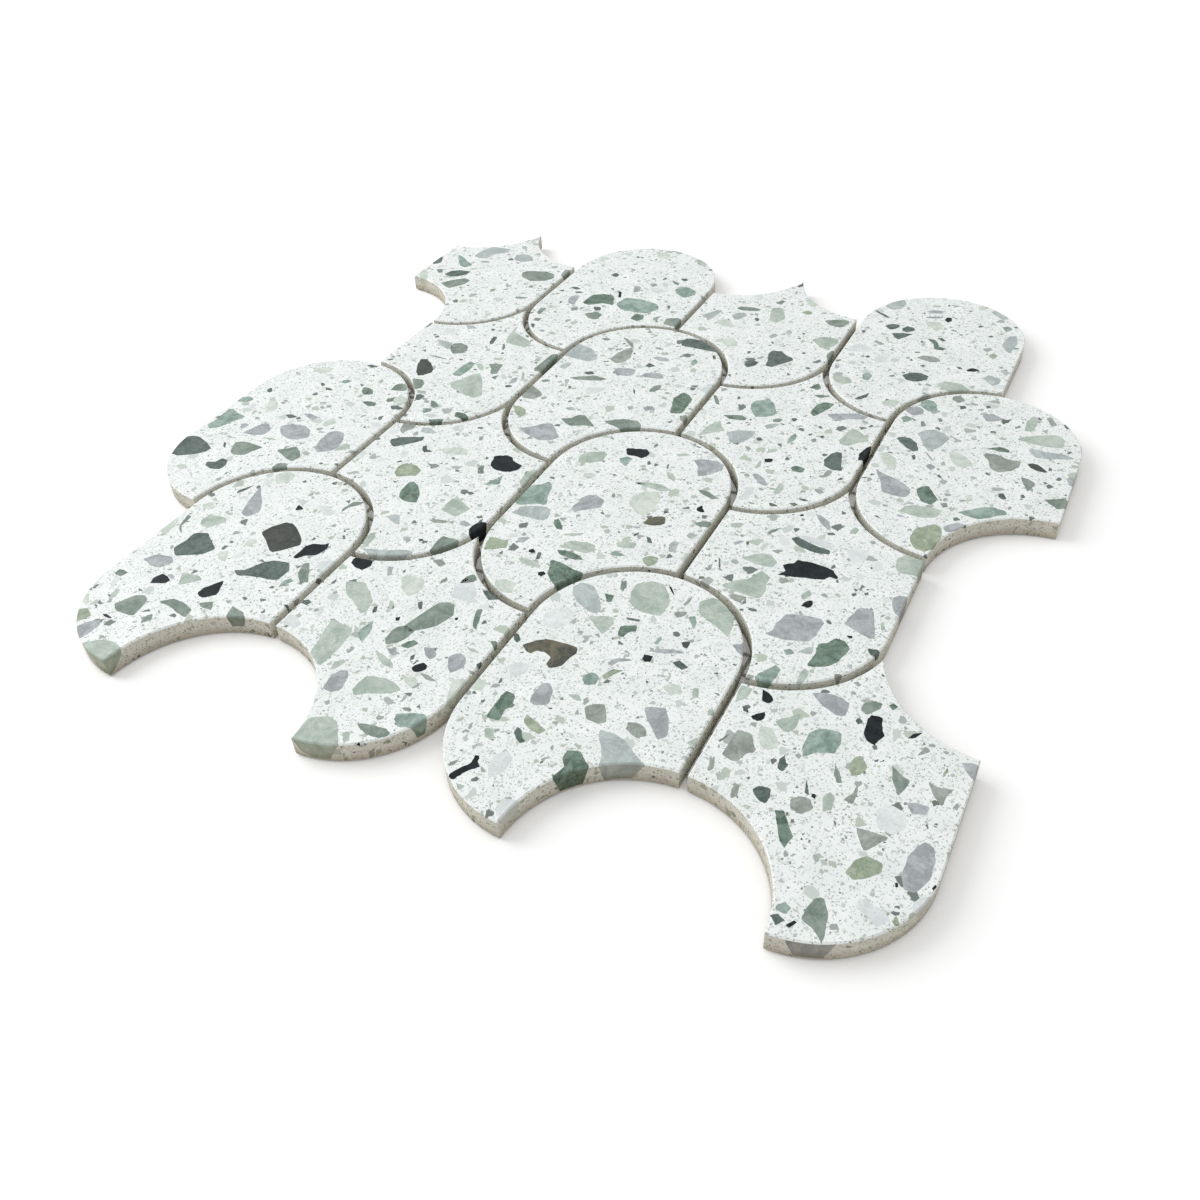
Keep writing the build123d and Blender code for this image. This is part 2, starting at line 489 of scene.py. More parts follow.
# Outlines of the stones that show on each chip, by marble. What runs over the chip's edge is sawn off there.
SCALE_LEFT_1_STONES: ChipStones = {
    Marble.BROWN: [
        ((-82.3, -91.3), (-81, -87.5), (-78.5, -83.8), (-75.5, -83.5), (-69.5, -87), (-66, -91.3),
         (-72, -98.7), (-77.3, -94.7)),
    ],
    Marble.SLATE: [
        ((-77.3, -110), (-74, -109), (-71, -103), (-68.7, -101), (-63.3, -100), (-61, -103),
         (-61.3, -108.3), (-64.3, -109.3), (-69.3, -110), (-74.7, -111.8)),
        ((-102.3, -101), (-98, -98.9), (-95, -101.3), (-90, -104.3), (-91.7, -108), (-99.7, -112.7),
         (-103.2, -109.7), (-102, -104.3)),
        ((-102.2, -71), (-103.3, -75), (-105, -78), (-105.4, -75.8)),
        ((-113.5, -136.3), (-112.3, -135.3), (-111.3, -136.3), (-112.5, -137.2)),
        ((-52.3, -116.7), (-50, -115.5), (-48, -116), (-48, -118)),
    ],
    Marble.BLACK: [
        ((-64.1, -97.7), (-64.3, -91), (-63, -89.3), (-59.3, -88), (-58, -86.7), (-57, -90.3),
         (-58.3, -93.7), (-61.3, -95), (-62.5, -97.3)),
        ((-76.3, -115.3), (-73.8, -121.8), (-77, -124.9), (-80, -123.7), (-80, -120.7)),
        ((-97, -121.3), (-95, -121.2), (-92, -122.3), (-92.7, -124.3), (-97, -126.4), (-97.8, -123.7)),
        ((-81, -74.2), (-77.5, -75.4), (-80, -77.5)),
        ((-99.7, -143.1), (-98, -142.5), (-95.3, -143.3), (-97.7, -143.8)),
    ],
    Marble.LAVENDER: [
        ((-108, -118), (-105.7, -114.7), (-100, -113.3), (-97.3, -115.7), (-100, -119.3), (-103.3, -119.7)),
        ((-95, -120.9), (-94, -119.9), (-91.7, -120.8), (-91.8, -122)),
        ((-100.7, -147), (-98, -145.3), (-96.3, -147), (-97, -153.7), (-100, -153.9), (-102.5, -150.7)),
        ((-100, -71.3), (-98, -73.3), (-93.8, -77.5), (-90.4, -82.5), (-92.5, -87), (-95.8, -85.8),
         (-98.3, -78.3)),
    ],
    Marble.SAGE: [
        ((-96, -155.7), (-91.3, -151.7), (-87.3, -150.7), (-82, -152), (-81, -161), (-88, -158.7)),
        ((-105.3, -93.7), (-105, -90.7), (-98, -90.3), (-97, -92), (-100.3, -97), (-104.3, -96.3)),
        ((-110, -70.4), (-107.5, -70.8), (-105.8, -73.3), (-108.8, -76)),
        ((-91.3, -117.7), (-85.3, -116.9), (-83, -118), (-88, -123.5), (-90, -120.3)),
        ((-104.8, -132.3), (-103, -132.5), (-102, -135.7), (-103.3, -137.5)),
    ],
    Marble.GREY_GREEN: [
        ((-87.9, -131.7), (-84.7, -128.5), (-80, -128.7), (-76, -130), (-75.3, -133.7), (-80, -133),
         (-82.7, -132)),
        ((-100, -138), (-97, -132.7), (-94, -131), (-91.7, -132.7), (-90, -140), (-96.7, -140.3)),
        ((-59.3, -98.7), (-57.7, -97.3), (-54.3, -102), (-51.5, -105.3), (-54.3, -106), (-57.7, -103.3)),
        ((-76.3, -127), (-72.7, -124.2), (-70.3, -128), (-74, -128)),
        ((-65.9, -123.5), (-61.3, -124.3), (-58.3, -126.3), (-64, -130)),
        ((-111.3, -125), (-107.3, -125), (-107.7, -127.6), (-110.7, -127.6)),
        ((-111.7, -94), (-110, -94.3), (-109, -99.7), (-106, -103), (-110, -100.3)),
        ((-86.7, -137.7), (-85.3, -136.7), (-83.7, -139), (-86, -141.3)),
        ((-65.8, -69.2), (-64.6, -65), (-61.3, -63.8), (-61.7, -65.8), (-64.2, -68.3), (-65, -71.7)),
    ],
    Marble.TEAL: [
        ((-59.3, -108), (-58.3, -106), (-56.3, -106.3), (-58, -110.3), (-59.2, -111)),
    ],
    Marble.OLIVE: [
        ((-109.5, -145.7), (-106, -143), (-102, -145), (-104.7, -150.5), (-108, -148)),
    ],
    Marble.CELADON: [
        ((-100, -63.3), (-97, -60), (-93.3, -60.4), (-92.5, -65), (-95.8, -68)),
        ((-88, -105.7), (-85.3, -103), (-82.7, -108.3), (-86, -108)),
        ((-83.7, -97), (-82, -94.7), (-80, -96), (-80.7, -99), (-82.7, -99.3)),
        ((-115, -98.7), (-112.7, -97.7), (-111, -101), (-110.7, -105.3), (-115, -105)),
        ((-111.3, -87.7), (-109, -85), (-105.7, -88), (-109.3, -89.3)),
        ((-112.3, -138.7), (-110.7, -138.3), (-107.3, -141), (-108.7, -142.3)),
    ],
    Marble.PALE: [
        ((-102.5, -66.7), (-100.6, -66.5), (-96, -71), (-98.5, -70)),
        ((-110, -127.9), (-107.4, -127.9), (-105.7, -134.7)),
        ((-75, -71.7), (-70.8, -70.4), (-66.7, -73.3), (-68.3, -75.4), (-71.7, -74.2)),
        ((-55, -96), (-50, -92.3), (-50, -99.7), (-54.3, -98.3)),
        ((-56, -123), (-54.3, -122.3), (-52.3, -124), (-54, -124.7)),
    ],
}

SCALE_MIDDLE_1_STONES: ChipStones = {
    Marble.UMBER: [
        ((22.1, -101.3), (24.2, -98.8), (27.1, -96.3), (31.7, -95.8), (36.7, -95.6), (37.9, -97.9),
         (36.7, -100.8), (36.3, -104.2), (33.8, -106.3), (32.1, -105.4), (32.1, -102.5), (29.2, -101.3),
         (26.7, -101.7), (26.3, -103.5), (23.8, -102.9)),
    ],
    Marble.SAGE: [
        ((33.3, -82.9), (36.7, -81.3), (40, -80), (41.7, -82.5), (40.8, -88.3), (37.5, -85.8)),
        ((40, -63.8), (43.8, -60.8), (47.1, -60.8), (50, -63.3), (52.9, -68.3), (52.5, -73), (50, -74.6),
         (45, -74.6), (41.3, -71.7), (40, -67.5)),
        ((60.4, -63.3), (62.9, -60.4), (66.7, -60), (70.4, -62.5), (72.9, -68.3), (73.8, -74.2),
         (68.3, -71.3), (61.7, -68.3)),
        ((29.3, -132.9), (31.3, -132.1), (33.3, -134.2), (32.9, -136), (30.8, -135.4)),
        ((72.9, -96.7), (74.2, -96), (75.4, -99.2), (73.8, -100)),
        ((79.3, -102.5), (80.4, -101.3), (82, -102.9), (80.4, -104.2)),
        ((79, -115), (80.8, -112.5), (82, -114.2), (80.4, -115.8)),
        ((32.5, -151.7), (35.4, -151.7), (34.2, -153.3)),
        ((43.3, -112.9), (45.8, -111.7), (47.9, -113.8), (45, -113.8)),
    ],
    Marble.GREY_GREEN: [
        ((35.4, -65), (36.3, -63.5), (37.9, -66.7), (37.5, -68.8), (36.3, -67.9)),
    ],
    Marble.DARK_GREEN: [
        ((43.8, -82.9), (45.4, -81.7), (48.3, -80.2), (48.8, -82.9), (47.1, -84.2), (46.7, -86.7),
         (45, -86.7)),
        ((27.1, -120.8), (27.5, -118.8), (30.8, -119.6), (31.3, -122.1), (32.5, -122.5), (30.8, -125),
         (31.3, -129.2), (27.5, -129.6), (27.1, -125.8)),
        ((52.7, -133.3), (52.5, -130.4), (55.8, -129.2), (58.8, -131.7), (61, -134), (58, -139), (55, -142),
         (53.3, -139.6), (54.6, -135.4)),
        ((33.2, -71.7), (36.3, -71.3), (36.7, -74.6), (35.4, -75)),
    ],
    Marble.CELADON: [
        ((65, -100), (66.3, -97.5), (69.2, -97.1), (70.8, -99.6), (68.3, -101.7)),
        ((17, -117.5), (21, -118.3), (21.3, -122.1), (17, -122.5)),
    ],
    Marble.WHITE: [
        ((21.7, -86.7), (23.3, -82.9), (27.1, -81.8), (29.6, -85), (29.2, -90), (25.8, -92.1),
         (22.5, -90.8)),
    ],
    Marble.PALE: [
        ((22.9, -110), (25, -107.5), (28.3, -107.5), (28.8, -110.8), (25.8, -114.2)),
        ((36.3, -140), (38.8, -137.1), (41.3, -138.8), (41.7, -143.3), (39.2, -147.1), (37.5, -144.2)),
        ((45.4, -150.8), (51, -149.5), (51, -158), (46.7, -155.8)),
        ((73.8, -86.7), (76.3, -86.5), (76, -88.8), (74.2, -87.9)),
    ],
    Marble.TEAL: [
        ((43.3, -105), (45, -102.7), (47.9, -103.3), (48.3, -106.7), (45.4, -107.9), (44.2, -106.3)),
        ((60, -70.8), (61.7, -69.8), (63.3, -72.5), (63.5, -75), (61.3, -72.9)),
        ((55.4, -85), (56.3, -81.5), (57.1, -82.9), (56.7, -85.4)),
    ],
    Marble.LAVENDER: [
        ((34.6, -115), (35, -112.1), (36.7, -111.3), (38.8, -113.3), (40.4, -118.3), (37.1, -120.4),
         (35, -119.6)),
        ((64, -108.3), (69.2, -106.3), (71.7, -109.6), (73.8, -114.6), (72.1, -117.5), (68.3, -113.8),
         (64.6, -110)),
        ((55.4, -88.8), (59.2, -85.8), (64.6, -84.6), (65, -85.4), (59.2, -87.9)),
        ((75.7, -76.3), (78.3, -75), (81, -76.5), (82, -80), (78.3, -78.8)),
        ((47.5, -97.5), (48.3, -95.4), (51.3, -93.8), (53.3, -93.8), (50, -95.8), (48.8, -98.3)),
    ],
    Marble.OLIVE: [
        ((36.7, -123.8), (39.6, -125), (44.2, -126.7), (43.3, -128.8), (40, -128.3), (37.5, -126.7)),
        ((48.3, -102.9), (50, -99.2), (52.9, -98.3), (50.8, -101.7), (49.6, -103.8)),
    ],
    Marble.SLATE: [
        ((36.7, -129), (38.3, -129.2), (39.2, -130.8), (41.3, -132.5), (40.4, -133.5), (38.8, -132.5),
         (37.1, -131.3)),
        ((63.5, -89.6), (65, -88.3), (68.3, -89.8), (67.1, -91.7), (65, -90.8)),
        ((17, -97.9), (19, -97.9), (20.8, -100), (20.4, -101.3), (18.8, -100.4)),
        ((43.6, -78.5), (47.9, -77.9), (47.9, -78.8), (44.2, -79.4)),
    ],
    Marble.BLACK: [
        ((32.1, -142.1), (33.2, -141.5), (34, -143.8), (35.4, -144.8), (33.3, -146.7), (32.1, -149.2),
         (31.3, -151.3), (29.4, -150.7), (30.4, -147.5), (32.5, -145)),
        ((55.2, -90.2), (57.5, -90), (58.1, -92.1), (56.7, -92.9), (55.3, -92.3)),
        ((48.8, -60.2), (50.8, -61.7), (52.5, -64.3), (50.4, -62.5)),
    ],
    Marble.WARM_GREY: [
        ((49.6, -115.4), (51.3, -112.9), (53.8, -112.1), (55.4, -114.2), (57.3, -117.5), (55.8, -119),
         (51.7, -118.8)),
        ((62.3, -115), (65, -114.2), (67.5, -115), (68.8, -117.5), (66.7, -119.3), (62.9, -117.5)),
        ((55.8, -70), (58.8, -69), (59, -70.8), (57.1, -72.5), (55.8, -71.7)),
        ((56.3, -66.3), (57.3, -61.7), (57.8, -65), (57.1, -67.1)),
        ((27.5, -146.7), (29.2, -144.6), (28.8, -147.1), (27.9, -147.9)),
    ],
    Marble.MIST: [
        ((22.9, -72.9), (25, -70), (29.2, -70.4), (32.5, -73.8), (35.4, -78.3), (35.4, -80.8),
         (32.9, -80.8), (28.3, -79.2), (25, -76.3)),
        ((56.7, -120.8), (60, -120), (64.6, -121.3), (69.2, -124.2), (73, -126.5), (71, -134), (62.5, -135),
         (61.5, -128.3), (58.8, -124.2)),
    ],
    Marble.BROWN: [
        ((62.5, -81.5), (64.8, -80.2), (65, -83.3), (63.5, -82.9)),
    ],
}

TONGUE_RIGHT_1_STONES: ChipStones = {
    Marble.BLACK: [
        ((118, -87.8), (118.5, -85.8), (121.3, -85.5), (122.3, -89), (123.6, -91.5), (122.7, -93.5),
         (122.3, -95.5), (119.8, -95), (118.3, -91.8)),
        ((89.5, -88.8), (92, -89.7), (93.8, -91.5), (93, -93.3), (91, -93)),
        ((90.3, -99.5), (91.8, -97.8), (93.3, -96.3), (94, -98.5), (93, -100.3), (91.5, -100.3)),
        ((129, -90), (130, -87.5), (132, -86.3), (130.8, -88.8)),
        ((113.3, -116.8), (114.3, -117), (114.4, -118.2), (113.4, -118)),
        ((146, -131), (146.5, -129.8), (147, -129.8), (146.5, -131.5)),
        ((138.3, -133.2), (138.9, -132.9), (139.3, -134), (138.7, -134.2)),
        ((120, -154), (121.3, -152), (122, -152.2), (121, -154.3)),
    ],
    Marble.TEAL: [
        ((106, -98.5), (108, -96), (111, -95), (113.7, -95.2), (114.5, -99), (114, -102.5), (110, -104),
         (107.5, -106.8), (106.3, -104.5)),
        ((116.5, -150), (118, -148.5), (119.7, -149.5), (119, -151.5), (117, -151.5)),
    ],
    Marble.WARM_GREY: [
        ((89, -105), (93, -105.2), (94.5, -108), (96, -110.5), (94, -112), (93, -115.7), (88.5, -115)),
        ((109, -121), (110.5, -119), (113.5, -118.8), (115, -121), (113, -124), (110, -123.8)),
        ((137.5, -101.5), (140.5, -102), (143.5, -101.3), (142.7, -104), (142.3, -107.5), (139.5, -104.8)),
        ((125.5, -122), (133.8, -121.5), (131.5, -125.5), (129.5, -128)),
        ((122.5, -108.5), (123.3, -113), (123, -116), (120.5, -115.5), (122, -112.5)),
        ((95, -121.8), (96.3, -122), (97, -125.5), (96, -126.8), (95.2, -124.5)),
        ((86.5, -117), (87.7, -116.5), (88.7, -120), (87.5, -121.5)),
        ((132.8, -94.5), (133.8, -90.3), (135.3, -91.3), (134.5, -92.8)),
        ((144.7, -106.5), (145.3, -104.8), (146, -105.5), (145.7, -107.2)),
    ],
    Marble.CELADON: [
        ((94, -101.5), (97, -101.2), (100.5, -105.5), (99, -108.5), (96.5, -108), (94.2, -104.5)),
    ],
    Marble.SAGE: [
        ((96.5, -98.5), (99.5, -95.5), (102, -93), (102.5, -98), (101, -101), (98.5, -99.8)),
        ((116, -117.3), (117, -114.5), (118.8, -116), (119, -119.5), (117.5, -121)),
        ((89.5, -121), (91.5, -120), (92.5, -121.8), (91, -123)),
        ((84, -90), (87.5, -89.8), (87, -94), (85, -96.5), (84, -93)),
        ((119.3, -134), (120.3, -132.7), (121.2, -134.5), (120.5, -136)),
    ],
    Marble.SLATE: [
        ((99.5, -122), (101, -120), (103.5, -119.8), (104.5, -122.3), (104, -125), (101.5, -124)),
        ((102.3, -110), (103, -108), (104, -110.5), (105, -111), (104.5, -113.5), (102.8, -113)),
        ((110.5, -113.3), (112, -116), (112.7, -117.7), (111.5, -117.5)),
        ((87, -97), (88.5, -97), (89.5, -98.7), (88, -98.5)),
        ((115.3, -89.5), (116, -88), (117.2, -89), (116.5, -90.5)),
        ((116, -153), (117.5, -152), (119.7, -153), (118, -155)),
    ],
    Marble.OLIVE: [
        ((119, -101.5), (120.5, -100.2), (123, -103.5), (122, -106.5), (120, -107.5), (118.5, -105)),
        ((127.5, -135.5), (128.3, -131), (130.5, -128.8), (134.5, -129.2), (135, -132), (132, -135),
         (129.5, -136.5)),
        ((140, -97), (140.6, -95), (141, -96), (140.3, -98.7)),
        ((140.5, -143), (141, -141.3), (142.3, -143), (141.5, -144)),
    ],
    Marble.GREY_GREEN: [
        ((128, -100), (130.5, -101.8), (133.7, -103), (132, -109), (130, -105.5)),
        ((122.5, -148.5), (123.5, -145), (125.3, -143.7), (127.5, -147), (128.5, -152), (128.7, -155),
         (126, -152.5), (122.5, -151)),
        ((115.3, -83), (117.5, -80.8), (120, -80.5), (120, -82.5), (117.5, -86.3), (115.5, -85.2)),
        ((115.3, -105.5), (117, -107.5), (118.8, -110.5), (117.5, -111.2), (116, -109)),
    ],
    Marble.LAVENDER: [
        ((140, -121), (141.7, -119.2), (144, -120.3), (145, -124), (145, -129), (143.3, -133.8),
         (140.5, -134), (138.9, -130.5), (139, -125)),
        ((102, -85), (105, -83.2), (108.5, -83), (112, -84), (112.8, -89), (110, -90), (106, -88)),
        ((134.3, -110), (136.5, -108.7), (140, -109), (139.5, -111.5), (136.5, -112.7)),
        ((143, -92), (145, -91), (148, -91), (148, -97), (144.8, -94)),
    ],
    Marble.DARK_GREEN: [
        ((106.7, -125.5), (109, -124.7), (111, -128), (113.5, -131), (112.7, -135), (110.7, -133),
         (108.5, -128.5)),
        ((121.5, -80.5), (122.5, -79.5), (124, -80), (123, -82)),
        ((86.2, -110.8), (87, -109), (87.7, -107.5), (87.4, -109.5), (86.6, -111.3)),
    ],
    Marble.PALE: [
        ((132, -143), (133, -140), (139, -141.5), (140, -143), (138, -146), (135, -144)),
        ((135.8, -93), (136.5, -91.5), (137.5, -94), (136.3, -95.3)),
        ((143.5, -137), (144.5, -134.5), (147.5, -132), (147, -138), (144, -139)),
    ],
    Marble.WHITE: [
        ((128.5, -115), (131, -112), (135, -113), (136.5, -117), (134, -121), (130, -119.5)),
    ],
}

TONGUE_LEFT_1_STONES: ChipStones = {
    Marble.BLACK: [
        ((-46, -89), (-44, -88), (-39.5, -88.5), (-39, -91), (-40.2, -93.3), (-43, -93), (-45.7, -92)),
        ((-1.3, -121.5), (0.5, -119.2), (2.5, -120), (2.8, -121.5), (1, -123.5), (-1, -123.3)),
        ((1, -153), (2.3, -151), (3, -152), (5.5, -152), (5.7, -153), (3, -154.2)),
        ((-17.7, -107), (-16.7, -106.3), (-16, -107.8), (-17, -108.3)),
        ((-1.7, -99.8), (-1, -99.2), (-0.4, -100.3), (-1.1, -100.7)),
    ],
    Marble.SAGE: [
        ((-41.5, -100), (-39, -98.7), (-36, -98), (-32, -100.5), (-28.3, -103.8), (-27.2, -109),
         (-28.5, -110), (-33, -107), (-38, -104.3)),
        ((-34.7, -115.2), (-32, -115.7), (-26.5, -116.5), (-25.5, -118), (-25, -124), (-25, -133),
         (-31.5, -130), (-33, -122.5)),
        ((-11, -130.5), (-6, -129), (-3, -129), (1.2, -131), (-1, -133.3), (-6, -135.5), (-9.5, -138),
         (-11.5, -136.5)),
        ((-15.5, -150), (-12, -147.8), (-10, -147), (-7.5, -148), (-2, -154.5), (-4, -160), (-15, -160)),
        ((-24, -101.5), (-22.5, -101.3), (-21, -104), (-21.3, -105.8)),
        ((-15, -121), (-11, -121.5), (-7, -123.5), (-6, -125), (-9, -125), (-12, -123.5)),
        ((-22.5, -130), (-21, -128), (-19.5, -128.5), (-20.5, -132), (-21.8, -133)),
        ((-4, -150.5), (-2.5, -149.3), (-0.5, -152), (-1.5, -153)),
        ((8.5, -109), (10.5, -108.5), (13, -109.5), (10.5, -110)),
    ],
    Marble.GREY_GREEN: [
        ((-15.5, -112), (-14.8, -110), (-12.7, -108.6), (-9.2, -109.4), (-9.5, -112.8), (-11, -116),
         (-13.5, -117.7), (-15.3, -116)),
        ((-3, -146), (1, -145), (6, -144.3), (8, -145.5), (6, -148), (2, -148.3), (-1, -147)),
        ((-10, -96.5), (-7.5, -94.8), (-5, -95), (-2.5, -99), (-4, -103), (-5, -105.5), (-8.5, -108.8),
         (-10.5, -110.5), (-13.2, -109.5), (-12, -104)),
        ((5, -136.3), (7, -135.2), (8.3, -136), (6.5, -137)),
        ((-9, -82.5), (-7.5, -80.5), (-5, -82.5), (-5.5, -84), (-9, -86)),
        ((13, -104), (14.5, -103.3), (16, -104.5), (16, -106.5)),
    ],
    Marble.DARK_GREEN: [
        ((-9.5, -116.5), (-8.5, -114), (-7, -112.7), (-5.3, -113.5), (-6.5, -116.3)),
        ((2.2, -93.7), (4, -93.3), (5.5, -98), (6.5, -101.5), (5, -101), (3.5, -98)),
    ],
    Marble.LAVENDER: [
        ((-20, -135), (-19, -132), (-17, -131), (-15, -133.5), (-14, -138), (-16, -139.8), (-19, -139.5)),
        ((6.2, -113.5), (8, -111.7), (10.5, -112.5), (12, -116), (10, -119.8), (8, -118.3), (6, -115.5)),
        ((-3, -114), (0, -113), (2.5, -115.5), (1.5, -117.7), (-1, -116.5)),
        ((-12.5, -119), (-10, -118), (-7.5, -119.5), (-10, -120.5)),
    ],
    Marble.TEAL: [
        ((5, -139), (8.5, -136.8), (12, -135.7), (14.5, -137), (14.5, -140), (12, -141), (8, -142.5),
         (5.7, -140.5)),
        ((-24, -114.5), (-23, -111), (-21, -114), (-20.2, -120), (-22, -119), (-24.2, -117)),
    ],
    Marble.MIST: [
        ((-34, -88.5), (-32, -88), (-30.5, -91), (-31.5, -92.5)),
    ],
    Marble.CELADON: [
        ((-27, -90.5), (-24, -88.8), (-20, -89), (-18, -92), (-18.5, -96), (-20, -97.5), (-24, -95.5)),
        ((11.5, -121.7), (15.5, -119.5), (16, -131), (14.5, -129), (13, -125)),
        ((-1, -126), (1.5, -125), (4, -127), (3, -129.2), (0, -128)),
    ],
    Marble.SLATE: [
        ((-1, -86), (2, -84.5), (6, -87), (3, -89)),
        ((-26.5, -106), (-25.5, -105), (-24.5, -107.5), (-25.3, -108.5)),
        ((-15.7, -98.5), (-14.5, -97.8), (-12.8, -100.5), (-13.5, -101.3)),
        ((-48, -112.5), (-46.5, -111.5), (-45, -112), (-45.5, -114), (-47.5, -113.8)),
        ((-4.2, -118.8), (-3.5, -117.3), (-2.8, -119.5), (-3.5, -120.4)),
        ((-28.3, -88), (-27.8, -87.3), (-27.3, -88.8), (-28, -89.2)),
        ((14.5, -114), (15.2, -112), (16, -111.5), (16, -115)),
    ],
    Marble.WARM_GREY: [
        ((2.2, -123.3), (5, -123), (8.5, -124), (5, -124.8)),
        ((-22.8, -80), (-20.5, -78.5), (-17.8, -80), (-18.8, -82), (-21, -81)),
        ((-15, -87.5), (-14.3, -85), (-13.3, -86.5), (-14.2, -88.8)),
    ],
    Marble.PALE: [
        ((-47.5, -119.5), (-46, -118.8), (-41.5, -121), (-42, -123.7), (-47.5, -123)),
        ((-41.5, -112.5), (-40, -111.8), (-38.5, -117), (-40, -116)),
        ((-9.5, -88.5), (-9, -83), (-6, -83), (-2, -87.5), (-0.5, -92), (-4, -93), (-8.5, -92)),
    ],
}

TONGUE_RIGHT_2_STONES: ChipStones = {
    Marble.BLACK: [
        ((76.3, -37.5), (77.5, -36), (79.3, -35), (79.5, -33.3), (83, -32.7), (89, -33), (91, -33.8),
         (93.4, -36.3), (93, -37.3), (90.8, -37), (90, -38.8), (86, -40), (83, -41), (79, -42),
         (76.5, -42.2), (78, -39.8)),
        ((87.3, -52.8), (88.5, -50), (89.7, -49.3), (90.5, -51.5), (89.7, -53)),
        ((103.3, -59.5), (104.7, -58.9), (105.2, -59.9), (104, -60.2)),
        ((72.3, -11.5), (73.2, -10.5), (73.8, -11.5), (72.9, -12)),
    ],
    Marble.SLATE: [
        ((74, -24), (75.5, -22.3), (80, -24), (87, -25), (87.3, -27), (83, -27.8), (77, -26.5)),
        ((110, -62), (112, -61.7), (114.3, -61.9), (115, -64), (111.5, -64.3)),
        ((57.3, -42), (58, -42.5), (60, -47.5), (58.8, -46)),
        ((62, -31.3), (62.7, -30.7), (63.3, -32.3), (62.7, -33)),
        ((99, -41.8), (100, -40.8), (100.7, -41.5), (99.8, -42.8)),
        ((102.3, -40), (103.3, -38.9), (103.7, -40), (103, -40.8)),
    ],
    Marble.PALE: [
        ((75.8, -22), (78, -20.7), (85, -21), (87.7, -22), (87.3, -24.7), (80, -23.6)),
    ],
    Marble.SAGE: [
        ((63, -54), (65, -51), (67.5, -49), (69.5, -47.5), (70.5, -44.5), (71.7, -42.5), (75, -44.5),
         (75, -48), (76, -51), (75.3, -55), (68, -55)),
        ((63.5, -39.5), (66, -36.5), (69, -34.5), (72, -34.7), (74.3, -37), (74, -39.8), (69, -40.3)),
        ((106.5, -20), (109, -17.5), (116, -18), (116, -26), (109, -26.7), (107, -24.5)),
        ((86, -48), (87.2, -45.3), (88.7, -47), (87.5, -49.8), (86.2, -49.5)),
        ((54, -25), (56, -23.3), (58.3, -23), (57.5, -25.7), (55, -26.5)),
        ((89.5, -12.5), (90.3, -10.5), (92, -11.5), (91.5, -14), (90, -14)),
        ((96.5, -79.5), (97, -77), (98.8, -77.5), (98.5, -82.5), (97, -83.5)),
        ((110.3, -50.5), (111, -49.5), (112.3, -52.5), (111.5, -53.5)),
    ],
    Marble.LAVENDER: [
        ((101.5, -53), (103, -46.5), (107, -46), (108.5, -50), (111, -57.5), (109.5, -58), (104.5, -56.5),
         (101.2, -55)),
        ((84, -65.5), (83.7, -63), (85, -58), (88.5, -56.7), (95, -55.8), (96, -57), (95.5, -63),
         (94.8, -66.5), (89, -68.3), (82.3, -68.7)),
        ((76.8, -8.7), (78.5, -9), (82, -11), (84, -15), (82.7, -15.2), (80, -13)),
        ((58.5, -33.5), (60, -31.5), (61.5, -31.3), (59.5, -34.5)),
        ((110.5, -38.5), (112, -36.5), (116, -36.3), (116, -46.5), (113, -45), (111, -42)),
    ],
    Marble.DARK_GREEN: [
        ((97.2, -66), (99.5, -64.5), (101, -61.5), (104.5, -62.5), (105.8, -64.3), (104.5, -70.5),
         (102.5, -73.5), (99, -75.5), (97.2, -75.5), (97.8, -70)),
    ],
    Marble.WARM_GREY: [
        ((66.5, -57), (68, -56), (72, -55.8), (71, -59), (68.5, -58.5)),
        ((77.5, -43.3), (79.5, -42.6), (80.8, -44), (79, -45.8), (77.8, -45)),
        ((56, -47), (56.8, -45.5), (57.3, -48.5), (56.4, -49.3)),
        ((70.7, -32.3), (72.5, -30.7), (74.3, -30.8), (72.8, -32.8)),
        ((105, -75.5), (107.5, -74.5), (112, -75.5), (107, -80)),
    ],
    Marble.GREY_GREEN: [
        ((66.3, -24), (67.5, -22), (69.5, -20.2), (68.5, -22.5), (67, -25)),
    ],
    Marble.MIST: [
        ((61, -42), (62.5, -40.5), (64, -42), (63, -43.3)),
        ((94.5, -69.5), (96.3, -67.5), (97, -69), (96.3, -71.2), (93, -71.5)),
    ],
    Marble.TEAL: [
        ((89.2, -72.5), (91, -71.2), (92.7, -72.3), (91, -74)),
        ((86, -85.5), (87, -82.8), (89.5, -79), (91.7, -80), (91, -86), (88, -88)),
    ],
    Marble.WHITE: [
        ((91.5, -22.5), (94, -19.5), (98.5, -21), (98, -26), (94.5, -27.5)),
    ],
}

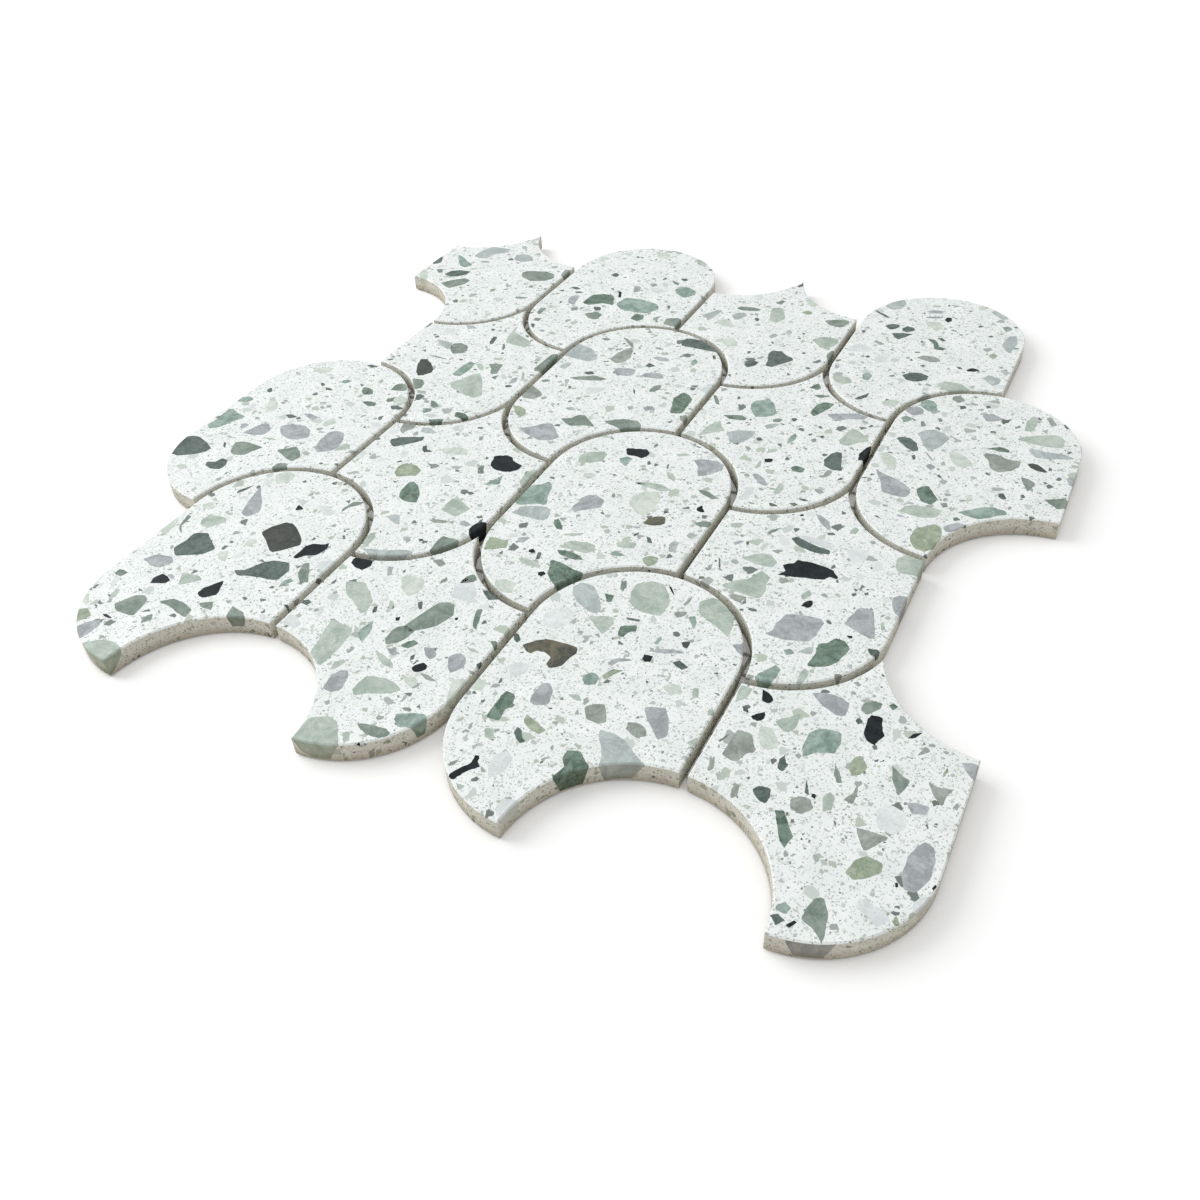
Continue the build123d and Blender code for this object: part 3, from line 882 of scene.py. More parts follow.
SCALE_MIDDLE_2_STONES: ChipStones = {
    Marble.BLACK: [
        ((4.3, 0.3), (6, 1.5), (8.5, 2), (11, 3), (13, 1.5), (13.3, -1), (12, -2.8), (9, -2.5), (6.5, -3)),
        ((10, -71.5), (11.5, -70.3), (12.7, -71.3), (12, -72.8), (10.7, -72.7)),
        ((41, -21.5), (41.8, -19.3), (43, -21), (44.3, -22.7), (42.8, -23.1), (41.3, -22.5)),
        ((2, -63), (3, -62), (4.5, -63.3), (3.5, -64.2), (2.3, -63.9)),
    ],
    Marble.LAVENDER: [
        ((28.7, 3.5), (31, 5.3), (36, 5.8), (39.5, 5), (40, 2), (38, -1.5), (36, -3.5), (34, -5),
         (31.5, 0.5)),
        ((3.7, -38.5), (4, -33), (5, -29.8), (8, -28.5), (11.5, -30), (12.5, -34), (9.5, -36), (7, -38),
         (5.5, -40)),
        ((-4.3, -59.5), (-3, -58), (-0.7, -57.7), (-1.5, -61), (-3, -61)),
        ((25.5, -39), (29, -38), (28, -39.5)),
    ],
    Marble.SAGE: [
        ((-8.8, -9.5), (-6, -6.5), (-1.5, -4.2), (0, -5.5), (0.3, -10), (-3, -12.5), (-7, -14.2)),
        ((10, -55.5), (12, -53.5), (17, -52.3), (20, -52.3), (21, -55), (19, -57.3), (12, -57.7)),
        ((16, -16.5), (20, -14.8), (25, -14.2), (29.8, -16), (26, -17.8), (20, -17.5)),
        ((23, -6.5), (26, -7.3), (27.9, -9), (28, -11), (25.5, -10)),
        ((25.3, -48.5), (27.5, -47), (31, -46), (31.8, -49), (29, -50), (26, -50)),
        ((1, -68), (3.5, -67), (8, -67.5), (9.7, -69.5), (6, -70), (2.5, -69.5)),
        ((7.5, -52.5), (9.5, -50.5), (14, -48.3), (12, -50.8)),
        ((36.5, -15.8), (37.5, -15.2), (38, -16.8), (37, -17.3)),
    ],
    Marble.UMBER: [
        ((28.5, -36), (29, -33), (31.5, -30.7), (34, -30.3), (35.2, -33.5), (33, -35.5), (30.5, -36.2)),
    ],
    Marble.MIST: [
        ((-13.5, -48.5), (-12, -46.5), (-12.3, -44.5), (-7.5, -42), (-4, -41), (-2, -42), (-0.5, -46.5),
         (-2, -48.3), (-8, -48.8)),
        ((40.5, -42.5), (41.7, -40), (43.3, -40.5), (43.5, -43.5), (44.7, -45.5), (42, -45.8)),
    ],
    Marble.TEAL: [
        ((-15.5, -33), (-12.5, -30.8), (-10.5, -28), (-8.3, -30), (-7, -35), (-4.7, -40), (-9, -41.5),
         (-13.5, -44), (-15.5, -43)),
        ((5, -6), (7, -4), (9.3, -4), (9, -9.5), (6.5, -8)),
        ((25.5, -53.5), (28, -52.3), (30.7, -53.3), (28.5, -54.8)),
        ((12.3, 6), (12.8, 8), (14, 7), (13.3, 4.8)),
    ],
    Marble.CELADON: [
        ((19, -24), (21, -20.5), (26, -18.5), (28, -21), (28.3, -28), (27, -33), (23.5, -31.5), (19.5, -28)),
        ((0, -80), (3, -78.7), (7, -78.5), (7, -81), (8, -83.5), (4.5, -84), (1.5, -82.8)),
    ],
    Marble.DARK_GREEN: [
        ((10.7, -64.5), (13.5, -64.2), (18, -65.5), (22, -66), (23.5, -66.5), (21.5, -71), (19.5, -76),
         (16, -73.5), (13, -71), (12, -67.5)),
        ((10, -59.5), (13, -58.5), (17, -58.7), (20, -60.5), (17, -61.7), (12, -61)),
        ((1.8, -46.5), (2.3, -44.8), (5, -47.3), (6.7, -49.8), (4.5, -50), (2.3, -48)),
    ],
    Marble.OLIVE: [
        ((-13, -62.5), (-10, -62), (-6, -62.5), (-5, -65), (-7, -66.5), (-11, -69), (-12, -66)),
        ((36, -52), (37.5, -50.2), (40.5, -50), (41.3, -52.5), (39.5, -55), (37.3, -54)),
    ],
    Marble.GREY_GREEN: [
        ((37, -12), (39, -11.3), (43, -12.5), (45.5, -13.7), (43.5, -15), (39.5, -13.8)),
        ((43.3, -29.5), (45.5, -27.3), (48.3, -26.5), (48.5, -29.3), (46, -30.3)),
    ],
    Marble.PALE: [
        ((38.5, -47.5), (37, -46.8), (40, -46), (39.5, -47.8)),
        ((-7.5, -59.5), (-6.5, -57), (-5, -56.5), (-5.3, -59), (-6.8, -60.7)),
        ((36, -24), (39.5, -22.8), (40, -24.8), (37, -25.5)),
        ((-5.5, -76), (-4.8, -75.2), (-3.3, -78.5), (-4.3, -78.7)),
    ],
    Marble.SLATE: [
        ((5.3, -63), (6.2, -62.5), (7.3, -65.8), (6.2, -66.2)),
        ((14.7, -4), (15.3, -3), (16.5, -4.5), (15.8, -5.8)),
        ((21.7, -2), (22.3, -2.5), (23.2, -5), (22.5, -5)),
        ((31.7, -27.8), (32.8, -26.8), (33.8, -27.5), (32.8, -28.5)),
        ((32.7, -41.8), (34, -42), (35.8, -44.2), (34, -44.3)),
        ((28.3, -42.5), (29.5, -40.8), (29.8, -41.8), (28.8, -43.5)),
    ],
    Marble.WARM_GREY: [
        ((12.3, -26.3), (13, -25.3), (14, -27), (13.3, -27.6)),
        ((16, -17), (20, -15.5), (19, -17.2)),
        ((7, -15.8), (8, -14.8), (9, -15.8), (8, -16.5)),
    ],
}

TONGUE_LEFT_2_STONES: ChipStones = {
    Marble.BLACK: [
        ((-21, -62.5), (-21.2, -60), (-20.3, -57.5), (-16, -55.5), (-14, -62), (-18, -66)),
        ((-36, -22.5), (-34, -21.3), (-31.5, -20.3), (-29.5, -20.5), (-28.3, -22), (-24, -23.5),
         (-23.7, -25.5), (-25.5, -28.5), (-28, -29.7), (-31, -29.5), (-34.3, -28), (-35, -24.5)),
    ],
    Marble.SLATE: [
        ((-76, -28.5), (-74, -26), (-70, -24), (-65.5, -22.3), (-64.8, -24.5), (-68, -28), (-72, -32),
         (-74.8, -30.5)),
        ((-62.7, -27.5), (-61.5, -26.3), (-60.5, -28.5), (-57.3, -29), (-60, -30.5), (-61.8, -29.5)),
        ((-33.5, -44.8), (-31.5, -44), (-30, -44.5), (-31, -45.8)),
        ((-20.5, -57), (-20, -55), (-19.2, -57), (-19.8, -58.5)),
        ((-33.3, -73), (-32, -72.4), (-31, -73), (-32, -73.8)),
    ],
    Marble.DARK_GREEN: [
        ((-54.3, -48), (-53, -47.2), (-50, -48.5), (-47, -52), (-45, -57), (-49, -57.7), (-52.5, -56.8),
         (-54, -53)),
    ],
    Marble.OLIVE: [
        ((-63.5, -41.5), (-62, -38.7), (-58, -38.3), (-54.3, -40.5), (-54.3, -44), (-57, -45), (-60, -47.2),
         (-62.5, -45)),
    ],
    Marble.SAGE: [
        ((-35.5, -52.5), (-35.3, -49.7), (-34, -49.3), (-29.5, -51), (-26.3, -52.5), (-29, -58),
         (-32.5, -57.5), (-35.5, -56.5)),
        ((-78, -52.3), (-75, -50), (-73.5, -50), (-76, -53)),
        ((-49.3, -77), (-48, -75.7), (-46.5, -78), (-46, -82.5), (-47, -83.7), (-48.8, -81)),
        ((-20.3, -26), (-19, -23.8), (-17.5, -23.5), (-17.5, -35), (-20, -32)),
    ],
    Marble.TEAL: [
        ((-30.5, -39.5), (-28, -34), (-27, -31), (-26.3, -33), (-25, -36.5), (-28.5, -37.8)),
    ],
    Marble.GREY_GREEN: [
        ((-27, -69.5), (-26.5, -68.3), (-19, -68.2), (-20, -71.5), (-23, -76), (-26.5, -77.5), (-27, -73)),
        ((-37.3, -31), (-36, -28.5), (-34.8, -31), (-33.5, -33.5), (-35.5, -34)),
    ],
    Marble.MIST: [
        ((-47, -84.5), (-40, -82.5), (-33, -79), (-30.5, -79.5), (-33, -83), (-38, -85.5), (-42, -86.5)),
        ((-50, -67.5), (-48, -65.2), (-46.3, -64.8), (-43.2, -69.3), (-46, -69)),
        ((-69.8, -17), (-67, -16.3), (-62.5, -18), (-66, -19.8), (-69, -20)),
        ((-38.5, -74), (-37, -73.5), (-35.7, -74), (-37, -75.8)),
    ],
    Marble.CELADON: [
        ((-56, -26.5), (-52, -23.8), (-49, -22.3), (-46.5, -23), (-45, -25.5), (-49, -27.5), (-53, -28.3)),
    ],
    Marble.WARM_GREY: [
        ((-78, -17), (-73, -15.5), (-72.3, -19), (-75, -23), (-77, -21.8)),
        ((-55, -36), (-52, -35), (-50, -35.3), (-51, -37.8), (-53, -37)),
        ((-36, -63), (-33, -61.5), (-28.5, -61), (-31, -63), (-34, -63.8)),
        ((-47.3, -14), (-46.3, -13), (-45, -15.5), (-46.2, -16.2)),
    ],
    Marble.PALE: [
        ((-46, -41), (-44.5, -38.8), (-40, -40.5), (-42, -43.3), (-44.5, -43.5)),
        ((-67.5, -33.5), (-66, -32.3), (-64.3, -34), (-65, -36.8), (-67, -35.3)),
        ((-58.5, -10.5), (-56.5, -9.5), (-55, -13.5), (-57, -12.8)),
        ((-81.5, -39), (-79, -38), (-78.5, -43), (-81, -43.5)),
    ],
    Marble.LAVENDER: [
        ((-26, -59.5), (-25, -58.5), (-21.5, -59.5), (-22.5, -61), (-25, -61.2)),
    ],
}

SCALE_LEFT_2_STONES: ChipStones = {
    Marble.SLATE: [
        ((-148.5, -60), (-146, -56.5), (-142.5, -55.7), (-137, -57.5), (-132.7, -60), (-133.5, -63),
         (-137, -66.5), (-141, -68.5), (-145, -68.5), (-148.5, -66)),
        ((-128, -67), (-125.5, -66), (-124.5, -63.3), (-122, -63.2), (-120.3, -66), (-120.5, -69),
         (-124, -70), (-127, -69.5)),
        ((-123, -30.5), (-121, -29.5), (-117, -30), (-120, -32.2)),
        ((-89.8, -9.5), (-88, -8.3), (-84.5, -8.5), (-85, -10.3), (-88, -11.3)),
        ((-142, -18), (-141, -17), (-139, -19), (-139.5, -20.3), (-141, -20)),
        ((-125.5, -6.5), (-124.5, -5.7), (-122.5, -7), (-123.5, -8.2)),
        ((-117, 12.5), (-115, 13.7), (-112, 13.5), (-114, 11.3)),
        ((-131.5, -54.5), (-130, -55), (-128.3, -57.7), (-130, -56.8)),
    ],
    Marble.GREY_GREEN: [
        ((-127.3, -53.5), (-125, -51.5), (-120, -51.3), (-115.5, -51.5), (-117, -54.5), (-119, -58.5),
         (-123, -59.8), (-125, -58.5)),
        ((-110, -51), (-107, -48.5), (-105, -46.2), (-101.5, -48), (-99, -51.5), (-100, -54.5),
         (-104, -53.5)),
        ((-97, 5.5), (-94, 6.5), (-91.5, 4), (-91, 2), (-97, 0)),
        ((-104, -57.5), (-101.5, -56.3), (-99, -58), (-104, -61.5)),
    ],
    Marble.SAGE: [
        ((-90, -37.8), (-87.5, -37.3), (-86, -39.7), (-89, -42), (-90.7, -43)),
        ((-119.5, -46.3), (-117, -45.5), (-114.3, -45.5), (-117, -47)),
    ],
    Marble.LAVENDER: [
        ((-100, -34), (-98, -32), (-94.5, -31.8), (-92, -35.5), (-90.5, -40), (-91.5, -43.5), (-95, -46.3),
         (-98, -44.5), (-99.5, -40)),
        ((-119.5, -37.5), (-116, -35), (-111, -33.8), (-107, -35.5), (-104.7, -39.5), (-107.5, -42.5),
         (-111, -43.5), (-115.5, -42)),
        ((-129.5, -47.5), (-128, -43), (-126.5, -39), (-124.5, -38), (-121, -41), (-121, -44.5),
         (-124.5, -46.5)),
        ((-117, -27), (-114, -26.2), (-110, -27), (-110.5, -30), (-114.5, -28.5)),
        ((-134, -42.5), (-132.5, -41.3), (-130.5, -42), (-131.5, -45), (-133, -44.5)),
    ],
    Marble.TEAL: [
        ((-146, -36), (-144, -35.2), (-141, -37), (-136, -37.5), (-138, -42.5), (-140, -47.5), (-143, -50),
         (-145.3, -48), (-145, -42)),
        ((-118.8, -1.5), (-117, 0), (-115, 0), (-115.5, -2.5), (-117.5, -3)),
        ((-147, -27), (-144, -25.5), (-141.5, -27), (-143.5, -30), (-147, -30.5)),
    ],
    Marble.DARK_GREEN: [
        ((-107.7, -2), (-106, -1.7), (-103, -2.5), (-101, -5), (-104.5, -7), (-106.5, -5)),
        ((-101.8, -11), (-99, -9.8), (-96, -10), (-95, -12), (-98, -13)),
    ],
    Marble.CELADON: [
        ((-92, -4), (-90, -1.5), (-87, -2.5), (-86.5, -6), (-90, -7.5)),
        ((-135, 2), (-132, 4.5), (-128, 5.5), (-127.5, 2), (-131, 0), (-134, -0.5)),
        ((-136.5, -22), (-134.5, -22.5), (-130.5, -26), (-128.5, -28.5), (-130.5, -32), (-133, -30.5)),
        ((-106, -27.5), (-104, -25), (-101.5, -27.5), (-103.5, -31.5), (-105.5, -30.5)),
        ((-137, -73.5), (-134.5, -71.5), (-131.5, -73), (-134, -75)),
    ],
    Marble.UMBER: [
        ((-121.5, -8.5), (-120, -7.8), (-117, -9), (-120, -9.8)),
    ],
    Marble.PALE: [
        ((-140, -29.5), (-138.5, -28.8), (-136.5, -33), (-139, -32.5)),
        ((-90, -21.5), (-86, -21), (-84, -23), (-87.5, -24)),
    ],
}

SCALE_MIDDLE_3_STONES: ChipStones = {
    Marble.SLATE: [
        ((-9.3, 82.5), (-2, 83.3), (1, 83), (5, 80.5), (7.5, 77.5), (6, 76.2), (-8.5, 76), (-9.5, 78.5)),
        ((-34.5, 41.3), (-33, 43), (-31.5, 43.8), (-30, 42.3), (-32, 40.8)),
        ((-15, 55.5), (-14, 58.5), (-11, 57), (-13, 55)),
        ((-11.5, 38.5), (-10.3, 37.5), (-9, 34.7), (-10.3, 36)),
        ((6, 73.5), (7, 74), (8.5, 71.5), (7.5, 71)),
    ],
    Marble.DARK_GREEN: [
        ((5.4, 37.5), (6.3, 41), (7.3, 43.3), (10, 42.5), (12.3, 40), (12.5, 35), (12.7, 30), (11.5, 28.8),
         (8.7, 27.8), (7, 33)),
    ],
    Marble.WARM_GREY: [
        ((-30, 55), (-29.5, 60.5), (-27.5, 65), (-26, 67), (-24.5, 64.5), (-23, 60), (-23.3, 56), (-26, 53)),
        ((-33, 73), (-31, 73), (-27, 70), (-25, 66.5), (-27, 67.3), (-29.5, 70)),
        ((-50, 25), (-47, 24.8), (-43, 22.5), (-40.5, 20.3), (-42.5, 16.5), (-46, 15.5), (-48.5, 17),
         (-50, 20)),
        ((-18, 70.3), (-16, 71.2), (-13.5, 70.5), (-15.5, 69.5)),
        ((12.5, 27.5), (14.5, 29), (16, 28.5), (16, 24.5), (14, 25)),
    ],
    Marble.SAGE: [
        ((-14, 67), (-11.5, 69), (-10, 67.5), (-12, 66)),
        ((-28.5, 16), (-26, 17.5), (-24, 16), (-26.5, 14.8)),
        ((-2, 46), (-1, 47.5), (0.5, 46.3), (-1, 45.3)),
    ],
    Marble.GREY_GREEN: [
        ((-38, 36), (-34, 38.5), (-29.5, 41.2), (-26, 41), (-23.7, 40.5), (-25.5, 38.5), (-30, 37),
         (-35, 35.5)),
        ((-11.3, 13), (-8, 15.5), (-5, 17.7), (-0.5, 18.5), (2, 17), (4.5, 13), (0, 10), (-5, 11.5)),
        ((-26.5, 8.5), (-23, 10.5), (-21.5, 13.5), (-19, 14), (-16, 11.5), (-12.5, 8.5), (-16, 8),
         (-21, 5.5)),
        ((-5.5, 40.5), (-5, 43.5), (-2.8, 45), (-2, 42.5), (-3, 39), (-5, 38.5)),
        ((-41, 69), (-38.5, 70.5), (-36.5, 69), (-39, 68)),
    ],
    Marble.LAVENDER: [
        ((-37.5, -3.5), (-33, 0), (-30.5, 3), (-27.5, 4.5), (-24.5, 1.5), (-20.7, -2.5), (-23, -6),
         (-27, -7.3), (-33, -5.5)),
        ((-24.5, 50), (-20, 51.5), (-16.5, 51.5), (-16, 47.5), (-18, 45.5), (-24, 45.5)),
        ((-13.5, 47.5), (-12, 51), (-9, 52), (-7, 53), (-4, 49.5), (-9, 48)),
        ((-2, 27.5), (-1, 29.3), (1, 29.5), (2, 27.8), (0, 25.5)),
    ],
    Marble.OLIVE: [
        ((-47, 9.5), (-45, 10), (-41.5, 9), (-39.5, 5.5), (-40.5, 3), (-44, 5.5)),
    ],
    Marble.MIST: [
        ((-50, 61.5), (-46, 61), (-41, 60), (-36.5, 56.5), (-34.5, 53), (-36.5, 50), (-42, 50), (-50, 50.5)),
        ((-8, 26), (-6, 27), (-5, 25.5), (-6, 23.5)),
        ((-38.5, 34), (-37, 35), (-35.3, 29), (-36.5, 30)),
        ((-45.5, 44), (-44, 46.5), (-42, 45.5), (-42.5, 41), (-45, 41.5)),
        ((-15, 62.5), (-13, 64.5), (-9, 64.5), (-7.5, 62.5), (-11, 61.5)),
    ],
    Marble.PALE: [
        ((-28, 31), (-24, 34), (-21.5, 34), (-22.5, 30), (-26, 27.5)),
        ((12, 49), (14, 51.5), (16, 51), (16, 45.5), (13.5, 46)),
    ],
    Marble.TEAL: [
        ((-47, 30), (-45, 31.5), (-43, 30.5), (-45.5, 28.8)),
        ((0.5, 67), (1.3, 68.5), (3, 66), (2.3, 63), (1, 63.5)),
    ],
}

TONGUE_RIGHT_3_STONES: ChipStones = {
    Marble.TEAL: [
        ((33.3, 45.5), (34, 48.5), (37, 50.3), (40, 50), (42.5, 46.5), (44.5, 43), (41.5, 39.5), (38, 37.8),
         (34.5, 42)),
        ((53.5, 30), (54.5, 33.5), (55.8, 32), (56, 29), (54.5, 25.3)),
    ],
    Marble.WARM_GREY: [
        ((72, 16.3), (74, 16.5), (74, 13), (72, 11.8)),
        ((41.5, 18.5), (43, 19), (44.5, 17.5), (43, 17)),
    ],
    Marble.SAGE: [
        ((70.3, 35), (70.7, 40), (72, 44.3), (75, 43.5), (80, 39), (77, 36.5), (74, 33), (71, 32.8)),
        ((23.5, 18), (24.5, 24), (26, 29), (27.5, 30.3), (29, 27.5), (31.5, 25), (28.5, 22.5)),
        ((49.3, 11), (50, 12.8), (51, 9), (50, 7.3)),
        ((60.2, 1.5), (61, 3), (62.7, 0), (62.2, -3.5), (60.3, -3.8)),
    ],
    Marble.MIST: [
        ((32, 24), (36, 27.5), (41.5, 29), (42, 25.5), (40, 20.5), (36.5, 18.5)),
        ((43, 33.5), (45, 36), (47.5, 37), (46.5, 33.5), (44.5, 32)),
    ],
    Marble.DARK_GREEN: [
        ((54.8, 50), (55.5, 55), (57.5, 57.5), (61.3, 57.5), (60, 53), (57, 46.3), (55, 48)),
        ((26.5, 34.2), (30, 36), (33, 36.8), (36, 35.5), (34, 33.5), (30, 33.2)),
        ((60.3, 12.5), (62, 14.5), (65.3, 13.8), (65, 11.3), (62, 10.8)),
        ((67, -7), (68.5, -5.7), (70, -6.3), (69.3, -7.8)),
        ((48.5, 65), (51, 69.5), (53, 66), (52, 64.5)),
    ],
    Marble.LAVENDER: [
        ((60.5, 50), (65, 52), (70, 54.5), (75, 54), (74, 51.5), (69, 50), (65, 46.3)),
        ((50, 4), (52, 4.7), (55, 2.5), (57.5, 0), (55, -1), (52, 1.5)),
        ((72, 4), (73.5, 5), (75.5, 3.3), (74.5, 2), (73, 2.5)),
    ],
    Marble.BLACK: [
        ((50.5, 14), (52, 15), (53.5, 15), (53.5, 13), (51.5, 12)),
        ((79, 30), (80, 34.5), (81.5, 36.5), (82.5, 35), (82.5, 26.5), (79.5, 26)),
    ],
    Marble.GREY_GREEN: [
        ((44.3, 38.5), (46, 40.5), (47.8, 40), (47, 37.8), (45, 37.3)),
        ((61, 32), (62.3, 33.2), (63.3, 31.2), (62, 30.3)),
        ((18, 46), (19.5, 46), (23, 40.5), (21.5, 40.5)),
        ((52, 60.5), (55, 62), (58, 62), (55, 59.5)),
    ],
    Marble.SLATE: [
        ((69.2, 21.5), (70, 25.5), (71.7, 28), (73.5, 28), (75, 23), (76.8, 17.5), (73.5, 16.8), (70.5, 18)),
        ((50, 41.5), (51, 42.8), (52.5, 42.3), (51.5, 40.2)),
        ((43.2, 25), (44.5, 26), (46, 24.5), (44.5, 23.5)),
        ((69, -3.3), (71, -2.6), (72.3, -3.2), (70.5, -3.9)),
        ((63.2, 35), (64, 36), (65, 35), (64.2, 33.8)),
        ((61, -9.5), (62.5, -9), (64.5, -10), (62, -10.8)),
    ],
    Marble.PALE: [
        ((52, -3), (54, -4), (54, -11), (51, -11)),
        ((18, 34.5), (20, 35.3), (21, 32.5), (19, 31.5)),
    ],
}

TONGUE_LEFT_3_STONES: ChipStones = {
    Marble.BROWN: [
        ((-99.7, 25), (-97.5, 26.3), (-94, 24), (-90.5, 20.5), (-89.5, 18), (-91.5, 15), (-93.3, 13.7),
         (-96, 16.5), (-98.5, 21)),
    ],
    Marble.TEAL: [
        ((-81.5, 20), (-81.3, 27), (-80.3, 31.5), (-77.5, 31), (-76.8, 25), (-77.5, 20), (-80, 19.5)),
        ((-77.5, -6), (-74.5, -4.5), (-73.3, -6.5), (-75.5, -9)),
    ],
    Marble.MIST: [
        ((-103.5, 42), (-98, 42), (-95, 41), (-93.5, 38), (-94, 36), (-99, 38.5)),
        ((-99, 57), (-96, 58), (-92.5, 56.5), (-96, 54.5)),
        ((-57.5, 44.5), (-56, 46), (-55, 43), (-56.5, 41.5)),
    ],
    Marble.GREY_GREEN: [
        ((-95, 41.3), (-92, 43), (-88.5, 42.5), (-86.3, 38.5), (-87, 36), (-90, 34), (-93.3, 36.3)),
        ((-72.5, 32.5), (-70, 34), (-67, 34.5), (-66, 31), (-65.5, 27), (-67.5, 26), (-69.5, 30)),
        ((-53, 49), (-51.5, 50.5), (-50, 50), (-50, 36), (-53, 35), (-54, 37)),
        ((-94, 11), (-90, 12), (-87.5, 10), (-86.5, 6), (-89, 5)),
        ((-78, 0.5), (-75.5, 0), (-72.5, -2), (-74, -4.2), (-76, -3)),
        ((-115, 54), (-112.5, 53.5), (-113, 49), (-115, 47)),
    ],
    Marble.SAGE: [
        ((-78.5, 14.5), (-75.5, 19), (-73.5, 24), (-71.5, 24.8), (-69, 22), (-65.5, 17), (-62, 11),
         (-64, 8), (-69, 9), (-76, 11)),
        ((-78.5, 65), (-76, 59.5), (-71, 57.5), (-65, 54), (-66, 50), (-75.5, 50.5), (-77, 55)),
        ((-77, 30.5), (-75.5, 32), (-73, 30), (-71.5, 27), (-73.5, 27.5)),
        ((-57, 33), (-55, 31.5), (-53, 27), (-54.5, 27.5)),
    ],
    Marble.SLATE: [
        ((-82.5, 53), (-81, 53.5), (-79.5, 47.5), (-80.5, 46.5), (-82, 49)),
        ((-85.5, 1.5), (-84, 2.5), (-81.5, 1.5), (-82, -1.5), (-84, -2)),
        ((-57.8, 21), (-56, 22), (-54.7, 21.3), (-56.5, 19.5)),
        ((-85.5, 31.5), (-84, 32), (-83.5, 30.8), (-85, 30.5)),
    ],
    Marble.DARK_GREEN: [
        ((-64.5, -3), (-61, -2.5), (-58, -4.5), (-60, -6.5), (-63.5, -6)),
        ((-71, -11.5), (-68, -10), (-66, -9), (-65.5, -12), (-69, -14)),
    ],
    Marble.PALE: [
        ((-104.5, 52), (-101, 53), (-98, 49.5), (-101, 47), (-104, 48.5)),
        ((-68.5, 42), (-66.5, 44), (-65, 42), (-66.5, 39.5)),
    ],
    Marble.LAVENDER: [
        ((-58, 26), (-56.5, 28), (-55, 25), (-57, 22.5)),
    ],
    Marble.WARM_GREY: [
        ((-99, 29.5), (-95, 30), (-90, 29.5), (-94, 28.7)),
    ],
}

